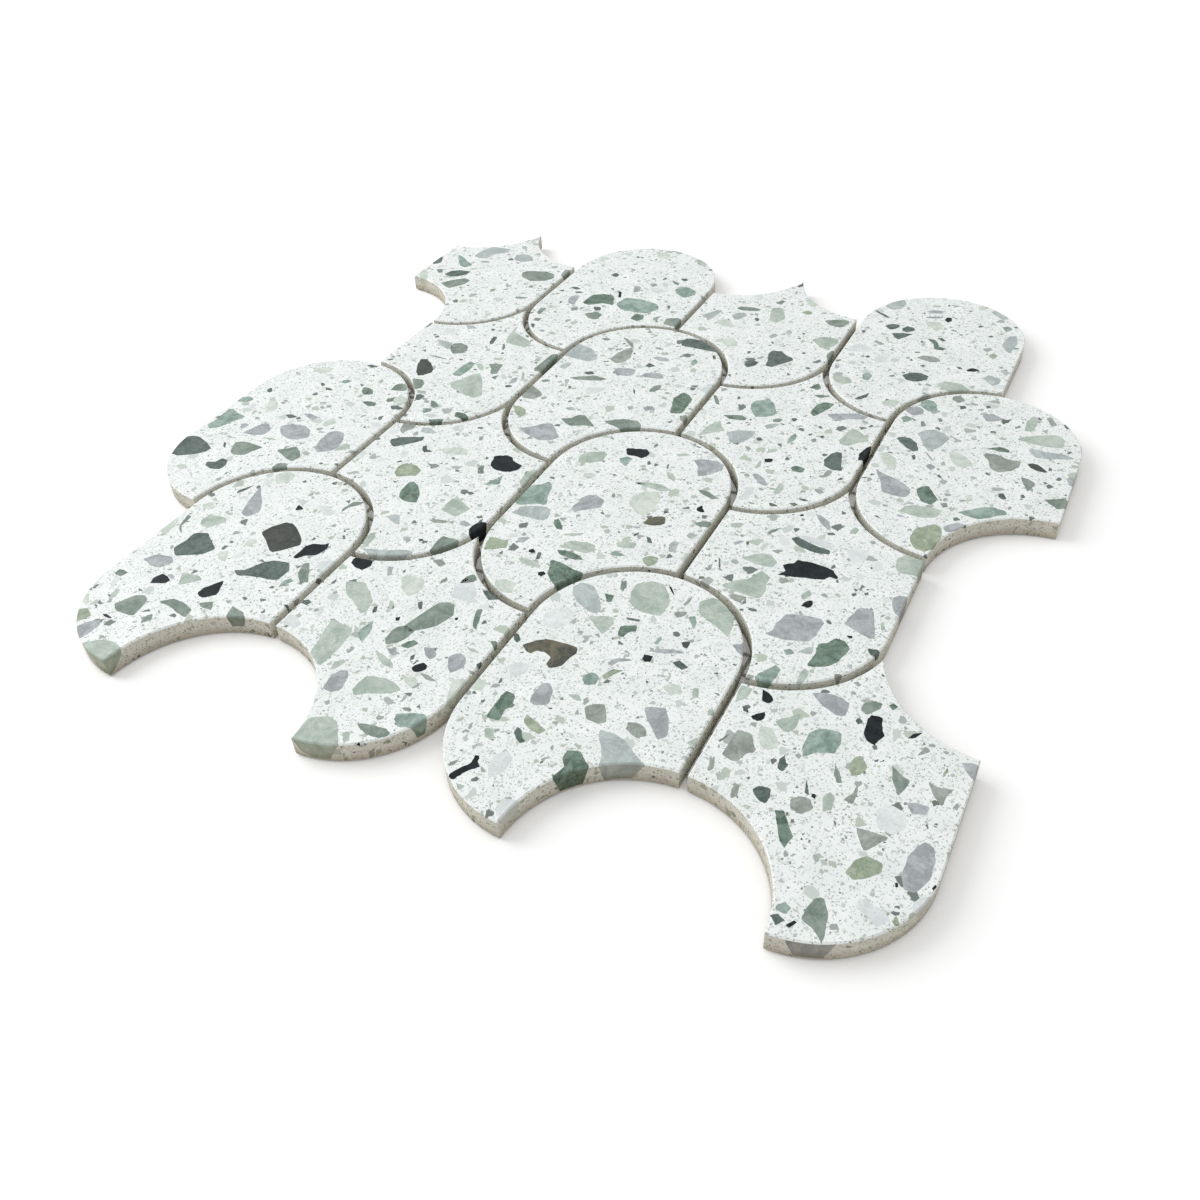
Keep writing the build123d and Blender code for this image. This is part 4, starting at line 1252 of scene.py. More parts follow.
SCALE_RIGHT_3_STONES: ChipStones = {
    Marble.WARM_GREY: [
        ((117, 46), (118, 47.5), (121, 48), (125, 46.5), (129.5, 47), (129.3, 43), (127.5, 40), (124, 37.5),
         (121, 39), (119.5, 43)),
        ((132, 77.5), (133.5, 79), (136, 74.5), (134.5, 73)),
        ((98.7, 79.8), (101, 81), (103.5, 78.5), (101, 75.8), (99, 77.3)),
    ],
    Marble.DARK_GREEN: [
        ((117.3, 50.5), (119.5, 52), (122, 53.2), (124.5, 52.3), (124.7, 50.5), (121, 50)),
        ((102, 17.5), (103.5, 20), (105.5, 20.5), (107.5, 17.5), (110, 14.5), (108.5, 10.8), (105, 11.5),
         (103.5, 14)),
        ((116.5, 6.5), (117.5, 7.7), (119, 6.8), (117.5, 5.3)),
    ],
    Marble.MIST: [
        ((93.5, 50.5), (96, 54), (99, 55), (102.5, 53.5), (104.5, 51.5), (103, 46), (100, 40.5),
         (97.5, 43.5), (95, 48)),
        ((130, 55), (131, 56.5), (136, 56), (141, 56.8), (145.5, 55.7), (141, 53.5), (137, 52), (133, 51.3)),
    ],
    Marble.BROWN: [
        ((131.7, 46.3), (133, 47.5), (135.5, 47), (138.7, 44), (136, 43.3), (133, 44.3)),
    ],
    Marble.GREY_GREEN: [
        ((140.3, 28), (143, 29.5), (146, 31), (148, 30.5), (148, 26.5), (145, 24.5), (142.5, 26.5)),
        ((131.3, 37.5), (133.5, 38), (136.3, 35.5), (135.5, 32.5), (134.5, 30.5), (132.8, 34)),
        ((97.3, 62.5), (98.3, 63.5), (99.5, 61.5), (98.5, 60.3)),
        ((92.3, 58.5), (93.5, 59), (95, 56), (93.5, 55)),
        ((111, 12.5), (112.7, 14), (113.7, 12), (112.3, 10.9)),
        ((123, 67.5), (124.5, 69.5), (125, 68), (123.5, 66.5)),
    ],
    Marble.LAVENDER: [
        ((87, 23), (89, 22), (94, 20.5), (98, 18.5), (100, 17), (101, 14), (99.5, 11.2), (95, 11),
         (92.3, 11.5), (90.5, 16)),
        ((115, 0.5), (116.5, 3), (118.5, 5), (121, 4.8), (119.5, 1.5), (117.5, -1), (116, -1)),
        ((85, 64), (86.5, 66.5), (89, 68), (91.5, 66.3), (92, 63.5), (89.5, 61.3), (87, 62)),
        ((101, 32), (102.5, 33.8), (104.5, 32.5), (103.5, 30)),
        ((111, 71), (114, 73.5), (117, 72), (119, 71.5), (116, 68.5), (113, 67.5)),
        ((144.5, 43), (146.5, 44.5), (148, 44), (148, 39), (146, 39.5)),
        ((145.5, 66), (147, 64), (148.5, 60), (147, 60), (145.8, 63)),
        ((98.8, 40), (100, 39.5), (103.2, 35.5), (101.8, 36)),
        ((100, 1), (101.5, 1.8), (103, 1), (101.5, 0.3)),
    ],
    Marble.SLATE: [
        ((87.5, 44.5), (90, 46.3), (92, 46.5), (95, 44), (96.5, 40), (95, 38.3), (92, 40.5)),
        ((126.5, 25.5), (128, 26.3), (129.5, 24), (128.8, 22.8), (127, 23.8)),
        ((133, 27.5), (134, 28.3), (134.8, 27), (133.8, 26)),
        ((106, 28), (107, 28.5), (108, 27), (107, 26.7)),
        ((138, 75.5), (139, 76.5), (141, 74), (139.5, 73.3)),
        ((102.5, 74), (104, 75), (105, 73.3), (103, 71.8)),
        ((95.3, 36), (96.3, 37), (97.2, 34.5), (96.3, 33.6)),
        ((117.7, 70.8), (120, 71.5), (121.5, 73), (120.5, 70), (119, 67.5)),
        ((110.8, 77.5), (112, 78.5), (112.8, 77), (111.5, 76)),
    ],
    Marble.SAGE: [
        ((126, 72.5), (127.5, 77.5), (129.5, 76.5), (129.8, 72), (129, 67), (126.5, 66.3)),
        ((125.3, 60), (127, 62.5), (131, 65.3), (136, 67.5), (138, 68), (140.5, 65.5), (140.3, 60.5),
         (135, 59.3), (129, 59.5)),
        ((100, 3.5), (101.5, 7), (104, 8.8), (110, 9.3), (112.7, 9.5), (112, 5), (108, 2.8), (104, 3)),
        ((145, 46.5), (147, 48), (148, 47), (146.5, 45.5)),
        ((105.2, 35.5), (106.5, 36.3), (107.3, 34.8), (106, 34)),
    ],
    Marble.OLIVE: [
        ((107, -6.5), (107.5, -3.5), (110, -1), (112.5, 1.5), (114.7, 0), (116, -5), (115, -11), (113, -14),
         (109.5, -13), (107.5, -10)),
    ],
    Marble.CELADON: [
        ((85, 33), (87.5, 34.5), (91, 32), (92.7, 27.5), (92.5, 25), (90, 26), (87, 29.5)),
        ((106.5, 43), (109, 44), (112.5, 42), (115.5, 38.5), (113, 35.5), (109.5, 36.5), (107.5, 39.5)),
        ((117.3, 20.5), (119, 21.5), (120, 18.5), (118.5, 16.8)),
    ],
    Marble.TEAL: [
        ((89, 71.5), (90.5, 73.8), (93, 73.5), (95, 71), (96, 67.5), (93.5, 66.2), (91.8, 66.8),
         (89.8, 68.5)),
        ((117, 10.5), (121, 13.5), (124, 16.5), (127, 17.5), (130.5, 17), (131.5, 15.5), (128, 12.5),
         (124, 9.3), (119, 9.8)),
        ((85.5, 58.5), (87, 60), (90, 59.5), (88.5, 56.5), (87, 55.3)),
    ],
}

TONGUE_LEFT_4_STONES: ChipStones = {
    Marble.GREY_GREEN: [
        ((-102.9, 110.8), (-100, 113.3), (-93.3, 115.4), (-88.3, 114.2), (-86.7, 110.8), (-88.8, 106.7),
         (-95, 104.2), (-100.8, 106.7)),
        ((-131.7, 86.7), (-128.3, 91.7), (-124.2, 95.3), (-120.4, 94.2), (-120.8, 90), (-125, 83.8),
         (-129.2, 85.8)),
        ((-141.3, 98.3), (-139.2, 99.6), (-136.7, 96.7), (-138.3, 95.4)),
        ((-93.3, 88.3), (-87.5, 89.6), (-88.3, 87.9), (-92.5, 86.7)),
    ],
    Marble.SLATE: [
        ((-135, 95), (-134.2, 99.2), (-130.8, 101.7), (-125, 102.5), (-125.8, 98.3), (-130, 94.2)),
        ((-150, 108.3), (-148.3, 111.3), (-145.4, 110), (-143.3, 105), (-145.8, 102.5), (-148.3, 104.2)),
    ],
    Marble.TEAL: [
        ((-140.4, 115.4), (-137.5, 114.6), (-133.3, 111.7), (-128.3, 108.3), (-130, 105), (-133.3, 105.8),
         (-137.5, 110.8)),
    ],
    Marble.MIST: [
        ((-132.9, 117.5), (-132.5, 124.2), (-130, 129.6), (-120.8, 130.4), (-119.6, 126.7), (-125, 122.5),
         (-125.8, 117.5), (-130, 116.3)),
        ((-115, 125), (-112.5, 127.9), (-107.5, 127.5), (-104.2, 123.3), (-108.3, 120), (-113.3, 120.8)),
        ((-125.8, 114.6), (-123.3, 115.4), (-122.5, 113.8), (-125, 112.1)),
    ],
    Marble.LAVENDER: [
        ((-121.3, 141.3), (-119.6, 143.8), (-116.7, 142.1), (-119.2, 140)),
    ],
    Marble.SAGE: [
        ((-118, 136), (-115, 135.5), (-113, 132.5), (-116, 133)),
    ],
    Marble.CELADON: [
        ((-147.5, 96), (-143, 94.5), (-139, 87), (-142, 86), (-146, 91)),
    ],
    Marble.WARM_GREY: [
        ((-86, 120.5), (-82, 121), (-82, 113), (-85, 114)),
    ],
    Marble.OLIVE: [
        ((-107, 91), (-105, 91.5), (-104.5, 88.5), (-106.5, 88)),
    ],
}

SCALE_MIDDLE_4_STONES: ChipStones = {
    Marble.DARK_GREEN: [
        ((-63.3, 94.2), (-62.5, 102.5), (-58.3, 105.4), (-54.2, 105.4), (-52.1, 102.5), (-50, 97.1),
         (-55, 97.1), (-59.6, 93.3)),
        ((-37.9, 89.2), (-37.5, 93.8), (-34, 94.2), (-32.5, 90.8), (-34.6, 87.9)),
    ],
    Marble.SAGE: [
        ((-34.6, 151.7), (-33.3, 153.3), (-28.3, 150), (-29.2, 146.7), (-33.3, 148.3)),
        ((-48, 158), (-44, 158.5), (-44, 155), (-47, 155)),
        ((-64.2, 65), (-61.7, 66.3), (-59.6, 65), (-61.7, 63.8)),
    ],
    Marble.TEAL: [
        ((-49.2, 100.8), (-47.9, 105.8), (-41.7, 106.7), (-33.3, 105.4), (-30.4, 101.7), (-33.3, 95.8),
         (-38.3, 94.8), (-45, 95), (-48.8, 97.9)),
        ((-31.7, 120.8), (-30.8, 124.6), (-26.7, 125), (-22.5, 122.5), (-21.7, 119.2), (-25, 115),
         (-29.2, 117.5)),
    ],
    Marble.BLACK: [
        ((-53.8, 110), (-52.1, 110), (-50, 105), (-51.3, 104.6)),
    ],
    Marble.GREY_GREEN: [
        ((-57.5, 85.8), (-53.3, 89.2), (-50, 87.5), (-50.4, 82.5), (-54.2, 82.5)),
        ((-36.7, 128.8), (-33.3, 127.5), (-31.9, 125.3), (-35, 126.3)),
        ((-23.8, 95), (-20, 97.1), (-17, 96.5), (-17, 89.5), (-23.3, 90)),
        ((-77.5, 83.3), (-75, 84.2), (-75, 77.5), (-76.7, 78.3)),
        ((-75, 74.2), (-72.5, 75), (-72.1, 72.5), (-74.6, 71.7)),
    ],
    Marble.SLATE: [
        ((-57, 92.5), (-54.2, 93.8), (-52.5, 90.8), (-55, 89.8)),
        ((-75, 105.4), (-73.3, 107.1), (-70, 105.8), (-71.7, 104.2)),
        ((-71.3, 102.5), (-68.8, 103.8), (-67.5, 102.5), (-70, 101.3)),
        ((-64.6, 123.3), (-63.3, 126.3), (-60.8, 125), (-61.3, 122.1)),
        ((-33.8, 131.3), (-31.7, 132.9), (-30, 131.3), (-31.7, 129.6)),
        ((-74.5, 69), (-72.5, 69.5), (-71, 66), (-72.5, 66.5)),
    ],
    Marble.LAVENDER: [
        ((-70.4, 94.2), (-70.8, 98.3), (-67.9, 100), (-66.7, 96.7), (-65.8, 90.8), (-68.8, 91.7)),
        ((-49.6, 117.5), (-46.7, 117.9), (-45, 113.3), (-47.5, 111.7)),
    ],
    Marble.WARM_GREY: [
        ((-65.8, 88.3), (-63.3, 90), (-61.7, 87.5), (-64.2, 85.8)),
        ((-44.2, 121.7), (-42.5, 123.3), (-40.4, 121.7), (-41.7, 119.6)),
        ((-29, 94), (-27, 96), (-26.5, 92), (-28.5, 91)),
    ],
    Marble.CELADON: [
        ((-54.2, 151.7), (-51.7, 154.6), (-47.9, 151.7), (-47.5, 148.3), (-52.5, 147.5)),
        ((-77.5, 138.3), (-75, 140), (-72.5, 137.5), (-75, 135)),
    ],
    Marble.PALE: [
        ((-43.3, 118.3), (-38.3, 119.2), (-33.3, 117.5), (-38.3, 114.6)),
    ],
}

TONGUE_RIGHT_4_STONES: ChipStones = {
    Marble.SLATE: [
        ((25.4, 83.3), (26.3, 86.7), (30, 87.1), (31.3, 85.4), (35, 83.8), (36.3, 82.1), (33.3, 77.9),
         (30.4, 73.8), (27.9, 74.2), (27.1, 78.8)),
        ((19.6, 74.2), (20.8, 75.8), (24.6, 75.8), (24.2, 72.9), (22.1, 70), (20.4, 71.3)),
        ((9.8, 108.3), (10.4, 110.4), (12.1, 108.8), (11.7, 106.7)),
        ((15.7, 143.8), (17.1, 147.9), (18.3, 146.3), (17.1, 142.9)),
    ],
    Marble.GREY_GREEN: [
        ((36.7, 118.3), (40.8, 120.8), (45.8, 122.1), (46.7, 119.2), (44.6, 115), (40, 115)),
        ((-0.4, 114.6), (0.4, 117.1), (5, 117.9), (9.6, 117.5), (8.3, 115.4), (2.5, 113.8)),
        ((12.9, 125), (14.2, 128.8), (16.3, 128.3), (15.4, 125)),
        ((46.7, 90.8), (47.1, 95), (49.6, 96.7), (50, 86.7), (47.9, 88.3)),
    ],
    Marble.SAGE: [
        ((37.1, 100.8), (40.8, 105), (46.7, 105.4), (47.9, 101.7), (45, 95), (41.7, 96.7)),
        ((13.3, 120.8), (15.8, 122.1), (19.2, 119.2), (21.3, 113.3), (19.2, 108.3), (15.8, 110),
         (13.8, 116.7)),
    ],
    Marble.MIST: [
        ((0.4, 108.3), (1.7, 111.7), (5, 112.1), (5.8, 109.2), (3.8, 105), (1.7, 105.8)),
        ((-10.4, 105), (-7.5, 110), (-5, 110.8), (-6.3, 103.3), (-7.5, 99.2)),
        ((25.4, 102.5), (26.7, 105), (28.5, 103.3), (27.5, 101.7)),
    ],
    Marble.OLIVE: [
        ((25.8, 121.7), (27.5, 124.2), (29.6, 123.3), (30, 121.3), (27.9, 120.4)),
    ],
    Marble.CELADON: [
        ((-3.8, 100), (-2.1, 104.2), (1.7, 103.3), (4.2, 99.2), (0.8, 97.5)),
        ((5, 85), (6.7, 90), (9.2, 89.2), (12.1, 84.2), (8.3, 82.5)),
        ((23.3, 132.5), (25, 135.8), (30, 130), (27.5, 127.5)),
    ],
    Marble.LAVENDER: [
        ((20.4, 96.7), (21.7, 100), (23.8, 99.2), (22.5, 95.8)),
    ],
    Marble.PALE: [
        ((23.3, 93.3), (25.8, 95.8), (27.1, 93.3), (26.3, 90.4)),
        ((1.3, 128.3), (5, 130.4), (6.7, 126.7), (4.2, 125)),
    ],
}

SCALE_RIGHT_4_STONES: ChipStones = {
    Marble.SLATE: [
        ((60.4, 123.3), (62.1, 125.8), (65.8, 126.3), (65.8, 123.3), (63.3, 120.8)),
        ((67.5, 124.2), (68.8, 126.3), (71.7, 125.8), (72.3, 123.3), (70, 121.3), (67.9, 121.7)),
        ((64.6, 118.3), (68.3, 120), (72.5, 120.8), (70.8, 117.5), (68.3, 113.8), (66.3, 115.8)),
        ((77.5, 87.5), (79.6, 90.4), (83.8, 91.8), (86.7, 90.4), (87.1, 87.9), (83.3, 84.6), (80, 84.6)),
        ((66.3, 63.8), (67.9, 66.7), (70, 70), (70.4, 66.7), (68.3, 64.2)),
        ((52.1, 135.8), (56.7, 133.3), (60.8, 130.8), (59.2, 130.4), (54.2, 133.3)),
        ((82.1, 120.8), (83.8, 122.1), (85.8, 120), (84.6, 119.2)),
        ((60.5, 96), (61.5, 97.5), (62.5, 96), (61.5, 95)),
    ],
    Marble.DARK_GREEN: [
        ((78.8, 119.2), (81.3, 119.6), (83.8, 116.7), (84.2, 114.6), (87.1, 114.2), (86.7, 112.1),
         (83.3, 111.7), (82.1, 115.8), (80, 117.5)),
    ],
    Marble.BLACK: [
        ((80.8, 137.5), (81.3, 140), (82.9, 140), (83.8, 137.5), (82.5, 135.4)),
        ((98.3, 100.8), (100, 102.9), (102.9, 102.5), (102.1, 100.8), (99.2, 99.6)),
    ],
    Marble.MIST: [
        ((105.4, 96.7), (106.7, 100), (111.7, 98.8), (111.7, 95), (110, 92.7)),
        ((106.3, 125), (107.5, 133.3), (110, 135), (111.7, 128.3), (110.4, 119.2), (108.3, 121.7)),
        ((55.4, 140), (57.5, 145), (60.8, 149.2), (63.3, 145), (62.1, 140), (59.2, 137.9)),
        ((95.8, 151.7), (98.3, 152.9), (104.2, 148.3), (102.5, 146.3), (98.3, 149.2)),
        ((110, 105), (111.7, 107.1), (113.8, 104.2), (112.1, 102.1)),
    ],
    Marble.LAVENDER: [
        ((72.5, 142.1), (75.8, 144.6), (79.2, 144.6), (78.3, 142.1), (74.2, 140.8)),
        ((73.3, 136.7), (76.7, 138.8), (80, 140), (79.2, 138.3), (75, 136.3)),
        ((100.4, 118.3), (102.5, 121.7), (103.8, 120), (102.5, 117.5)),
        ((52.1, 85.8), (54.2, 84.6), (53.8, 82.5), (52.5, 82.9)),
    ],
    Marble.WARM_GREY: [
        ((78.8, 102.5), (80.8, 105.4), (85.8, 105.8), (88.3, 103.3), (85, 101.3)),
        ((60, 110), (62.1, 109.6), (65, 108.3), (63.3, 107.1), (60.8, 108.3)),
    ],
    Marble.PALE: [
        ((52.5, 97.5), (54.2, 104.2), (58.3, 105), (62.1, 101.7), (56.7, 98.3)),
        ((64.2, 95.8), (66.7, 101.7), (69.6, 100), (68.3, 94.2), (65.8, 92.5)),
    ],
    Marble.CELADON: [
        ((74.2, 133.3), (80, 134.5), (82.1, 130), (80, 126.7), (75.8, 130)),
        ((75.8, 65.8), (79.2, 69.2), (82.1, 68.3), (81.3, 64.2), (77.5, 63.3)),
        ((90.5, 153), (92, 155), (94, 153), (92.5, 151)),
    ],
    Marble.SAGE: [
        ((90.8, 85.8), (93.3, 89.2), (99.2, 89.6), (103.3, 86.7), (100.8, 83.3), (95, 82.5)),
        ((53.8, 75.8), (55, 77.9), (60, 77.9), (62.1, 75), (59.2, 72.1), (55.8, 73.3)),
        ((77.5, 115.8), (78.5, 116.5), (79.4, 113.3), (78.3, 112.1)),
        ((63.3, 114.2), (64.2, 114.6), (65.8, 110.8), (64.6, 111.3)),
    ],
    Marble.TEAL: [
        ((63.8, 81.7), (65, 84.6), (67.5, 83.3), (67.1, 78.3), (65, 79.2)),
        ((103.3, 139.6), (105, 141.3), (107.5, 140), (105.8, 136.3)),
    ],
    Marble.OLIVE: [
        ((103.3, 115), (105, 117.5), (106.7, 115.8), (105.8, 112.5)),
    ],
}

STONES: dict[str, ChipStones] = {
    "scale_left_1": SCALE_LEFT_1_STONES,
    "scale_middle_1": SCALE_MIDDLE_1_STONES,
    "tongue_right_1": TONGUE_RIGHT_1_STONES,
    "tongue_left_1": TONGUE_LEFT_1_STONES,
    "tongue_right_2": TONGUE_RIGHT_2_STONES,
    "scale_middle_2": SCALE_MIDDLE_2_STONES,
    "tongue_left_2": TONGUE_LEFT_2_STONES,
    "scale_left_2": SCALE_LEFT_2_STONES,
    "scale_middle_3": SCALE_MIDDLE_3_STONES,
    "tongue_right_3": TONGUE_RIGHT_3_STONES,
    "tongue_left_3": TONGUE_LEFT_3_STONES,
    "scale_right_3": SCALE_RIGHT_3_STONES,
    "tongue_left_4": TONGUE_LEFT_4_STONES,
    "scale_middle_4": SCALE_MIDDLE_4_STONES,
    "tongue_right_4": TONGUE_RIGHT_4_STONES,
    "scale_right_4": SCALE_RIGHT_4_STONES,
}

# Stones that the saw met below the polished face, so that they show on the walls only
WALL_STONES: dict[str, ChipStones] = {
    "tongue_right_1": {
        Marble.LAVENDER: [((121.3, -154), (126.5, -152.5), (131, -151.5), (131.5, -160), (121, -160))],
    },
}


def stones_of(node: str) -> tuple[Stone, ...]:
    """All stones of one chip.

    Args:
        node: Name of the chip's CAD node.

    Returns:
        The stones that show on its face, then those that show on its walls only.
    """
    shown = [Stone(marble, outline) for marble, outlines in STONES[node].items() for outline in outlines]
    walled = [Stone(marble, outline, FACE_LEVEL - ARRIS)
              for marble, outlines in WALL_STONES.get(node, {}).items() for outline in outlines]
    return tuple(shown + walled)


@dataclass
class Chip:
    """One terrazzo chip and the stones in it.

    Args:
        node: Name of its CAD node.
        stones: The stones that show on it.
        proud: How far the stones stand out of the chip, in millimetres, so that they show.
        ragged: How far a large stone's outline wanders from straight, in millimetres.
        ragged_share: The same for a small stone, as a share of its width.
        cuts: Points added between two corners of an outline.
        rounding: How strongly the outline's points are drawn together, from 0 to 1.
        collar: Height of a stone's upright part, in millimetres, from its lid to below the face.
        depth_share: Depth below the collar, as a share of the stone's width.
        taper: Width of a stone's foot, as a share of its width at the face.
        least_ground: Cement left between a stone's foot and the chip's back, in millimetres.
        weld: Distance within which points of the chip's mesh are merged, in millimetres.
        flat_angle: Bend, in radians, below which neighbouring faces count as one.
        sliver: Length, in millimetres, below which an edge left by the cut is taken out.
    """

    node: str
    stones: tuple[Stone, ...]
    proud: float = 0.02
    ragged: float = 0.22
    ragged_share: float = 0.08
    cuts: int = 3
    rounding: float = 0.3
    collar: float = 0.7
    depth_share: float = 0.75
    taper: float = 0.62
    least_ground: float = 0.5
    weld: float = 0.001
    flat_angle: float = 0.004
    sliver: float = 0.002

    def dress(self, ground: bpy.types.Material) -> None:
        """Gives the CAD node its ground."""
        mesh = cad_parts[self.node].data
        mesh.materials.clear()
        mesh.materials.append(ground)

    def block(self) -> bpy.types.Object:
        """Makes the body that the stones are cut to.

        Returns:
            A merged copy of the CAD node, grown so that the stones stand a hair proud.
        """
        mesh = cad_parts[self.node].data.copy()
        work = bmesh.new()
        work.from_mesh(mesh)
        bmesh.ops.remove_doubles(work, verts=work.verts, dist=self.weld * MM)
        bmesh.ops.dissolve_limit(work, angle_limit=self.flat_angle, verts=work.verts, edges=work.edges)
        work.normal_update()
        for vertex in work.verts:
            vertex.co += vertex.normal * vertex.calc_shell_factor() * self.proud * MM
        work.to_mesh(mesh)
        work.free()
        body = bpy.data.objects.new(self.node + "_block", mesh)
        bpy.context.scene.collection.objects.link(body)
        return body

    def rough_stone(self, stone: Stone, rng: random.Random) -> bmesh.types.BMesh:
        """Models one stone before it is cut to the chip.

        Args:
            stone: The stone.
            rng: Source of its ragged edge.

        Returns:
            A closed stone that reaches above the polished face and narrows downwards.
        """
        work = bmesh.new()
        ring = [work.verts.new((x * MM, y * MM, stone.lid * MM)) for x, y in stone.corners]
        top = work.faces.new(ring)
        top.normal_update()
        if top.normal.z < 0:
            top.normal_flip()
        width = (top.calc_area() ** 0.5) / MM
        wander = min(self.ragged, self.ragged_share * width)
        bmesh.ops.subdivide_edges(work, edges=work.edges[:], cuts=self.cuts)
        for vertex in work.verts:
            vertex.co.x += rng.uniform(-wander, wander) * MM
            vertex.co.y += rng.uniform(-wander, wander) * MM
        bmesh.ops.smooth_vert(work, verts=work.verts, factor=self.rounding, use_axis_x=True, use_axis_y=True)
        deepest = stone.lid - self.collar - BACK_LEVEL - self.least_ground
        for drop, shrink in ((self.collar, 1.0), (min(self.depth_share * width, deepest), self.taper)):
            lowest = min(work.faces, key=lambda face: face.calc_center_median().z)
            grown = bmesh.ops.extrude_face_region(work, geom=[lowest], use_keep_orig=len(work.faces) == 1)
            low = [item for item in grown["geom"] if isinstance(item, bmesh.types.BMVert)]
            middle = sum((vertex.co for vertex in low), Vector()) / len(low)
            bmesh.ops.scale(work, verts=low, vec=(shrink, shrink, 1.0), space=Matrix.Translation(-middle))
            bmesh.ops.translate(work, verts=low, vec=(0.0, 0.0, -drop * MM))
        bmesh.ops.recalc_face_normals(work, faces=work.faces)
        return work

    def inlay(self, marbles: dict[Marble, bpy.types.Material]) -> bpy.types.Object:
        """Builds the chip's stones as one piece, each cut flush with the chip.

        Args:
            marbles: Material of each marble.

        Returns:
            The stones, riding with the sheet.
        """
        rng = random.Random(self.node)
        used = list(dict.fromkeys(stone.marble for stone in self.stones))
        body = self.block()
        joined = bmesh.new()
        for stone in self.stones:
            mesh = bpy.data.meshes.new("rough_stone")
            work = self.rough_stone(stone, rng)
            work.to_mesh(mesh)
            work.free()
            rough = bpy.data.objects.new("rough_stone", mesh)
            bpy.context.scene.collection.objects.link(rough)
            cut = rough.modifiers.new("cut_flush", "BOOLEAN")
            cut.operation = "INTERSECT"
            cut.solver = "EXACT"
            cut.object = body
            shown = rough.evaluated_get(bpy.context.evaluated_depsgraph_get())
            flush = bpy.data.meshes.new_from_object(shown)
            count = len(joined.faces)
            joined.from_mesh(flush)
            joined.faces.ensure_lookup_table()
            for face in joined.faces[count:]:
                face.material_index = used.index(stone.marble)
            if len(joined.faces) == count:
                log.warning("%s: stone at %s lies off the chip", self.node, stone.corners[0])
            bpy.data.objects.remove(rough)
            bpy.data.meshes.remove(mesh)
            bpy.data.meshes.remove(flush)
        bpy.data.objects.remove(body)
        bmesh.ops.dissolve_degenerate(joined, edges=joined.edges, dist=self.sliver * MM)
        stones = bpy.data.meshes.new(self.node + "_stones")
        joined.to_mesh(stones)
        joined.free()
        for marble in used:
            stones.materials.append(marbles[marble])
        piece = bpy.data.objects.new(self.node + "_stones", stones)
        bpy.context.scene.collection.objects.link(piece)
        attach(piece, "root")
        return piece


@dataclass
class TerrazzoSheet:
    """All chips of the sheet."""

    chips: list[Chip] = field(default_factory=lambda: [
        Chip(node, stones_of(node)) for node in sorted(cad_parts) if not node.startswith("net_")])

    def build(self) -> None:
        """Dresses every chip and lets its stones in."""
        ground = TerrazzoGround()
        cement = ground.make()
        marbles = {marble: marble.value.make(ground.sawn) for marble in Marble}
        for chip in self.chips:
            chip.dress(cement)
            piece = chip.inlay(marbles)
            log.info("%s: %d stones, %d faces", chip.node, len(chip.stones), len(piece.data.polygons))


@dataclass
class BackingNet:
    """The net that carries the chips."""

    nodes: tuple[str, ...] = ("net_warp", "net_weft")

    def dress(self) -> None:
        """Gives both layers of yarn their finish."""
        yarn = GlassFibreYarn().make()
        for node in self.nodes:
            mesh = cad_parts[node].data
            mesh.materials.clear()
            mesh.materials.append(yarn)
            log.info("%s dressed", node)


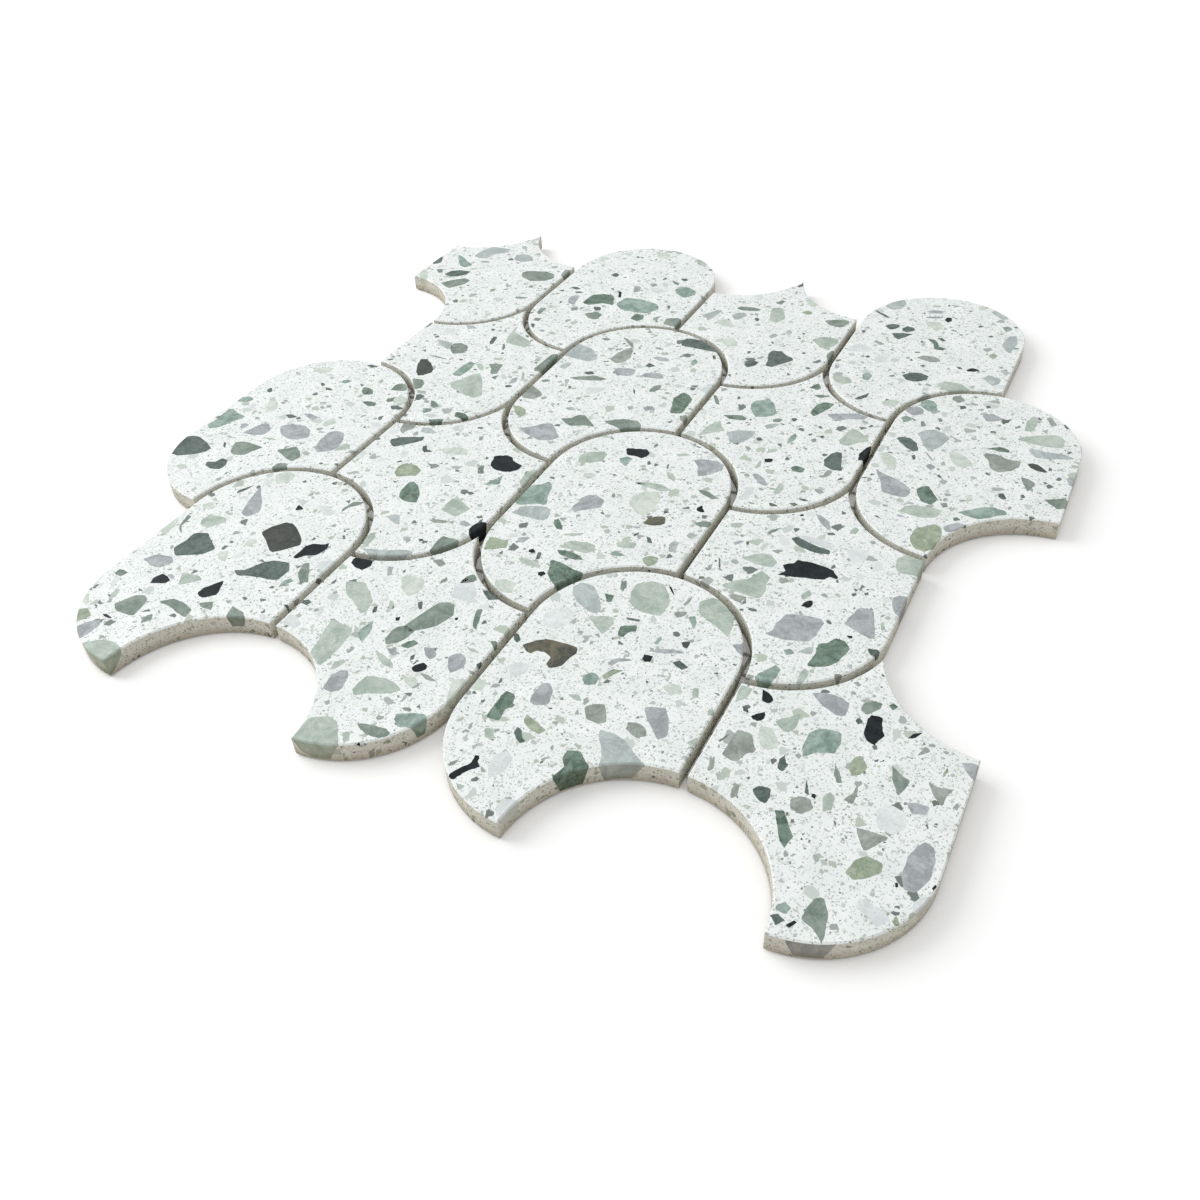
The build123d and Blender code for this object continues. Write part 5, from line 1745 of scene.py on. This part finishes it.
@dataclass
class Studio:
    """White floor, soft light and camera.

    Places and radii are in metres, apart from the camera's place, which is in millimetres.
    The floor's glow is painted light, seen only by the camera and in reflections. It is weak within the near
    radius, so that the floor under and round the sheet keeps the sheet's shadow and shows dark through the
    joints, and rises to the far radius, so that the paper further out looks white.
    """

    floor_radius: float = 6.0
    floor_segments: int = 96
    floor_level: float = -0.0001
    floor_white: str = "#ffffff"
    # Colour of the paper for the light it throws back: darker and warmer than the white the camera sees, so
    # less light reaches the chips' walls.
    floor_bounce: str = "#c6beb1"
    # Painted light on the floor: a weak glow near the sheet, where the floor stays in shade, and a strong glow
    # far out.
    near_glow: float = 0.07
    far_glow: float = 0.36
    near_radius: float = 0.22
    far_radius: float = 0.9
    sky: float = 0.75
    key_power: float = 16.5
    key_size: float = 1.5
    key_place: tuple[float, float, float] = (-1.35, -0.15, 0.95)
    camera_place: tuple[float, float, float] = (153.66, -287.38, 219.32)
    camera_right: tuple[float, float, float] = (0.88654, 0.46076, -0.04179)
    camera_down: tuple[float, float, float] = (0.27512, -0.59766, -0.75307)
    camera_ahead: tuple[float, float, float] = (-0.37196, 0.65613, -0.65661)
    lens: float = 32.87
    sensor_width: float = 36.0
    clip: tuple[float, float] = (0.01, 50.0)

    def build(self) -> None:
        """Sets up floor, light, sky and camera."""
        bpy.context.scene.view_settings.view_transform = "Standard"
        self.lay_floor()
        self.hang_light()
        self.paint_sky()
        self.place_camera()

    def lay_floor(self) -> None:
        """Lays a floor that looks white and keeps the sheet's shadow, but throws back light of a darker,
        warmer colour.
        """
        work = bmesh.new()
        bmesh.ops.create_circle(work, cap_ends=True, segments=self.floor_segments, radius=self.floor_radius,
                                matrix=Matrix.Translation((0.0, 0.0, self.floor_level)))
        mesh = bpy.data.meshes.new("floor")
        work.to_mesh(mesh)
        work.free()
        floor = bpy.data.objects.new("floor", mesh)
        bpy.context.scene.collection.objects.link(floor)
        material, tree, shader = new_material("white_studio_paper")
        shader.inputs["Roughness"].default_value = 1.0
        shader.inputs["Specular IOR Level"].default_value = 0.0
        path = add_node(tree, "ShaderNodeLightPath")
        seen = add_node(tree, "ShaderNodeMath", {"operation": "MAXIMUM"}, {
            0: path.outputs["Is Camera Ray"], 1: path.outputs["Is Glossy Ray"]})
        coords = add_node(tree, "ShaderNodeTexCoord").outputs["Object"]
        away = add_node(tree, "ShaderNodeVectorMath", {"operation": "LENGTH"}, {0: coords})
        # Painted glow of the paper, growing with the distance from the sheet, so that the floor near the sheet
        # stays darker.
        lift = add_node(tree, "ShaderNodeMapRange", inputs={
            "Value": away.outputs["Value"], "From Min": self.near_radius, "From Max": self.far_radius,
            "To Min": self.near_glow, "To Max": self.far_glow})
        glow = add_node(tree, "ShaderNodeMath", {"operation": "MULTIPLY"}, {
            0: seen.outputs[0], 1: lift.outputs[0]})
        # White for the camera and reflections. The darker colour is for bounced light only, which puts painted
        # shade on the chips' walls and joints.
        paper = add_node(tree, "ShaderNodeMix", {"data_type": "RGBA"}, {
            "Factor": seen.outputs[0], 6: linear(self.floor_bounce), 7: linear(self.floor_white)})
        tree.links.new(paper.outputs[2], shader.inputs["Base Color"])
        shader.inputs["Emission Color"].default_value = (1.0, 1.0, 1.0, 1.0)
        tree.links.new(glow.outputs[0], shader.inputs["Emission Strength"])
        mesh.materials.append(material)

    def hang_light(self) -> None:
        """Hangs one large soft lamp to the left of the sheet."""
        lamp = bpy.data.lights.new("key", "AREA")
        lamp.shape = "DISK"
        lamp.size = self.key_size
        lamp.energy = self.key_power
        key = bpy.data.objects.new("key", lamp)
        key.location = self.key_place
        key.rotation_euler = (-Vector(self.key_place)).to_track_quat("-Z", "Y").to_euler()
        bpy.context.scene.collection.objects.link(key)

    def paint_sky(self) -> None:
        """Makes the world an even light that looks white behind the floor."""
        world = bpy.data.worlds.new("studio")
        world.use_nodes = True
        bpy.context.scene.world = world
        tree = world.node_tree
        path = add_node(tree, "ShaderNodeLightPath")
        seen = add_node(tree, "ShaderNodeMath", {"operation": "MAXIMUM"}, {
            0: path.outputs["Is Camera Ray"], 1: path.outputs["Is Transmission Ray"]})
        level = add_node(tree, "ShaderNodeMapRange", inputs={
            "Value": seen.outputs[0], "To Min": self.sky, "To Max": 1.0})
        back = tree.nodes["Background"]
        back.inputs["Color"].default_value = (1.0, 1.0, 1.0, 1.0)
        tree.links.new(level.outputs[0], back.inputs["Strength"])

    def place_camera(self) -> None:
        """Puts the camera where the photograph was taken from."""
        data = bpy.data.cameras.new("camera")
        data.sensor_width = self.sensor_width
        data.lens = self.lens
        data.clip_start, data.clip_end = self.clip
        camera = bpy.data.objects.new("camera", data)
        right, up, back = Vector(self.camera_right), -Vector(self.camera_down), -Vector(self.camera_ahead)
        turn = Matrix((right, up, back)).transposed().to_4x4()
        camera.matrix_world = Matrix.Translation(Vector(self.camera_place) * MM) @ turn
        bpy.context.scene.collection.objects.link(camera)
        bpy.context.scene.camera = camera


def main() -> None:
    """Builds the sheet, its net and the studio."""
    logging.basicConfig(level=logging.INFO, format="%(name)s: %(message)s")
    TerrazzoSheet().build()
    BackingNet().dress()
    Studio().build()


if __name__ == "__main__":
    main()
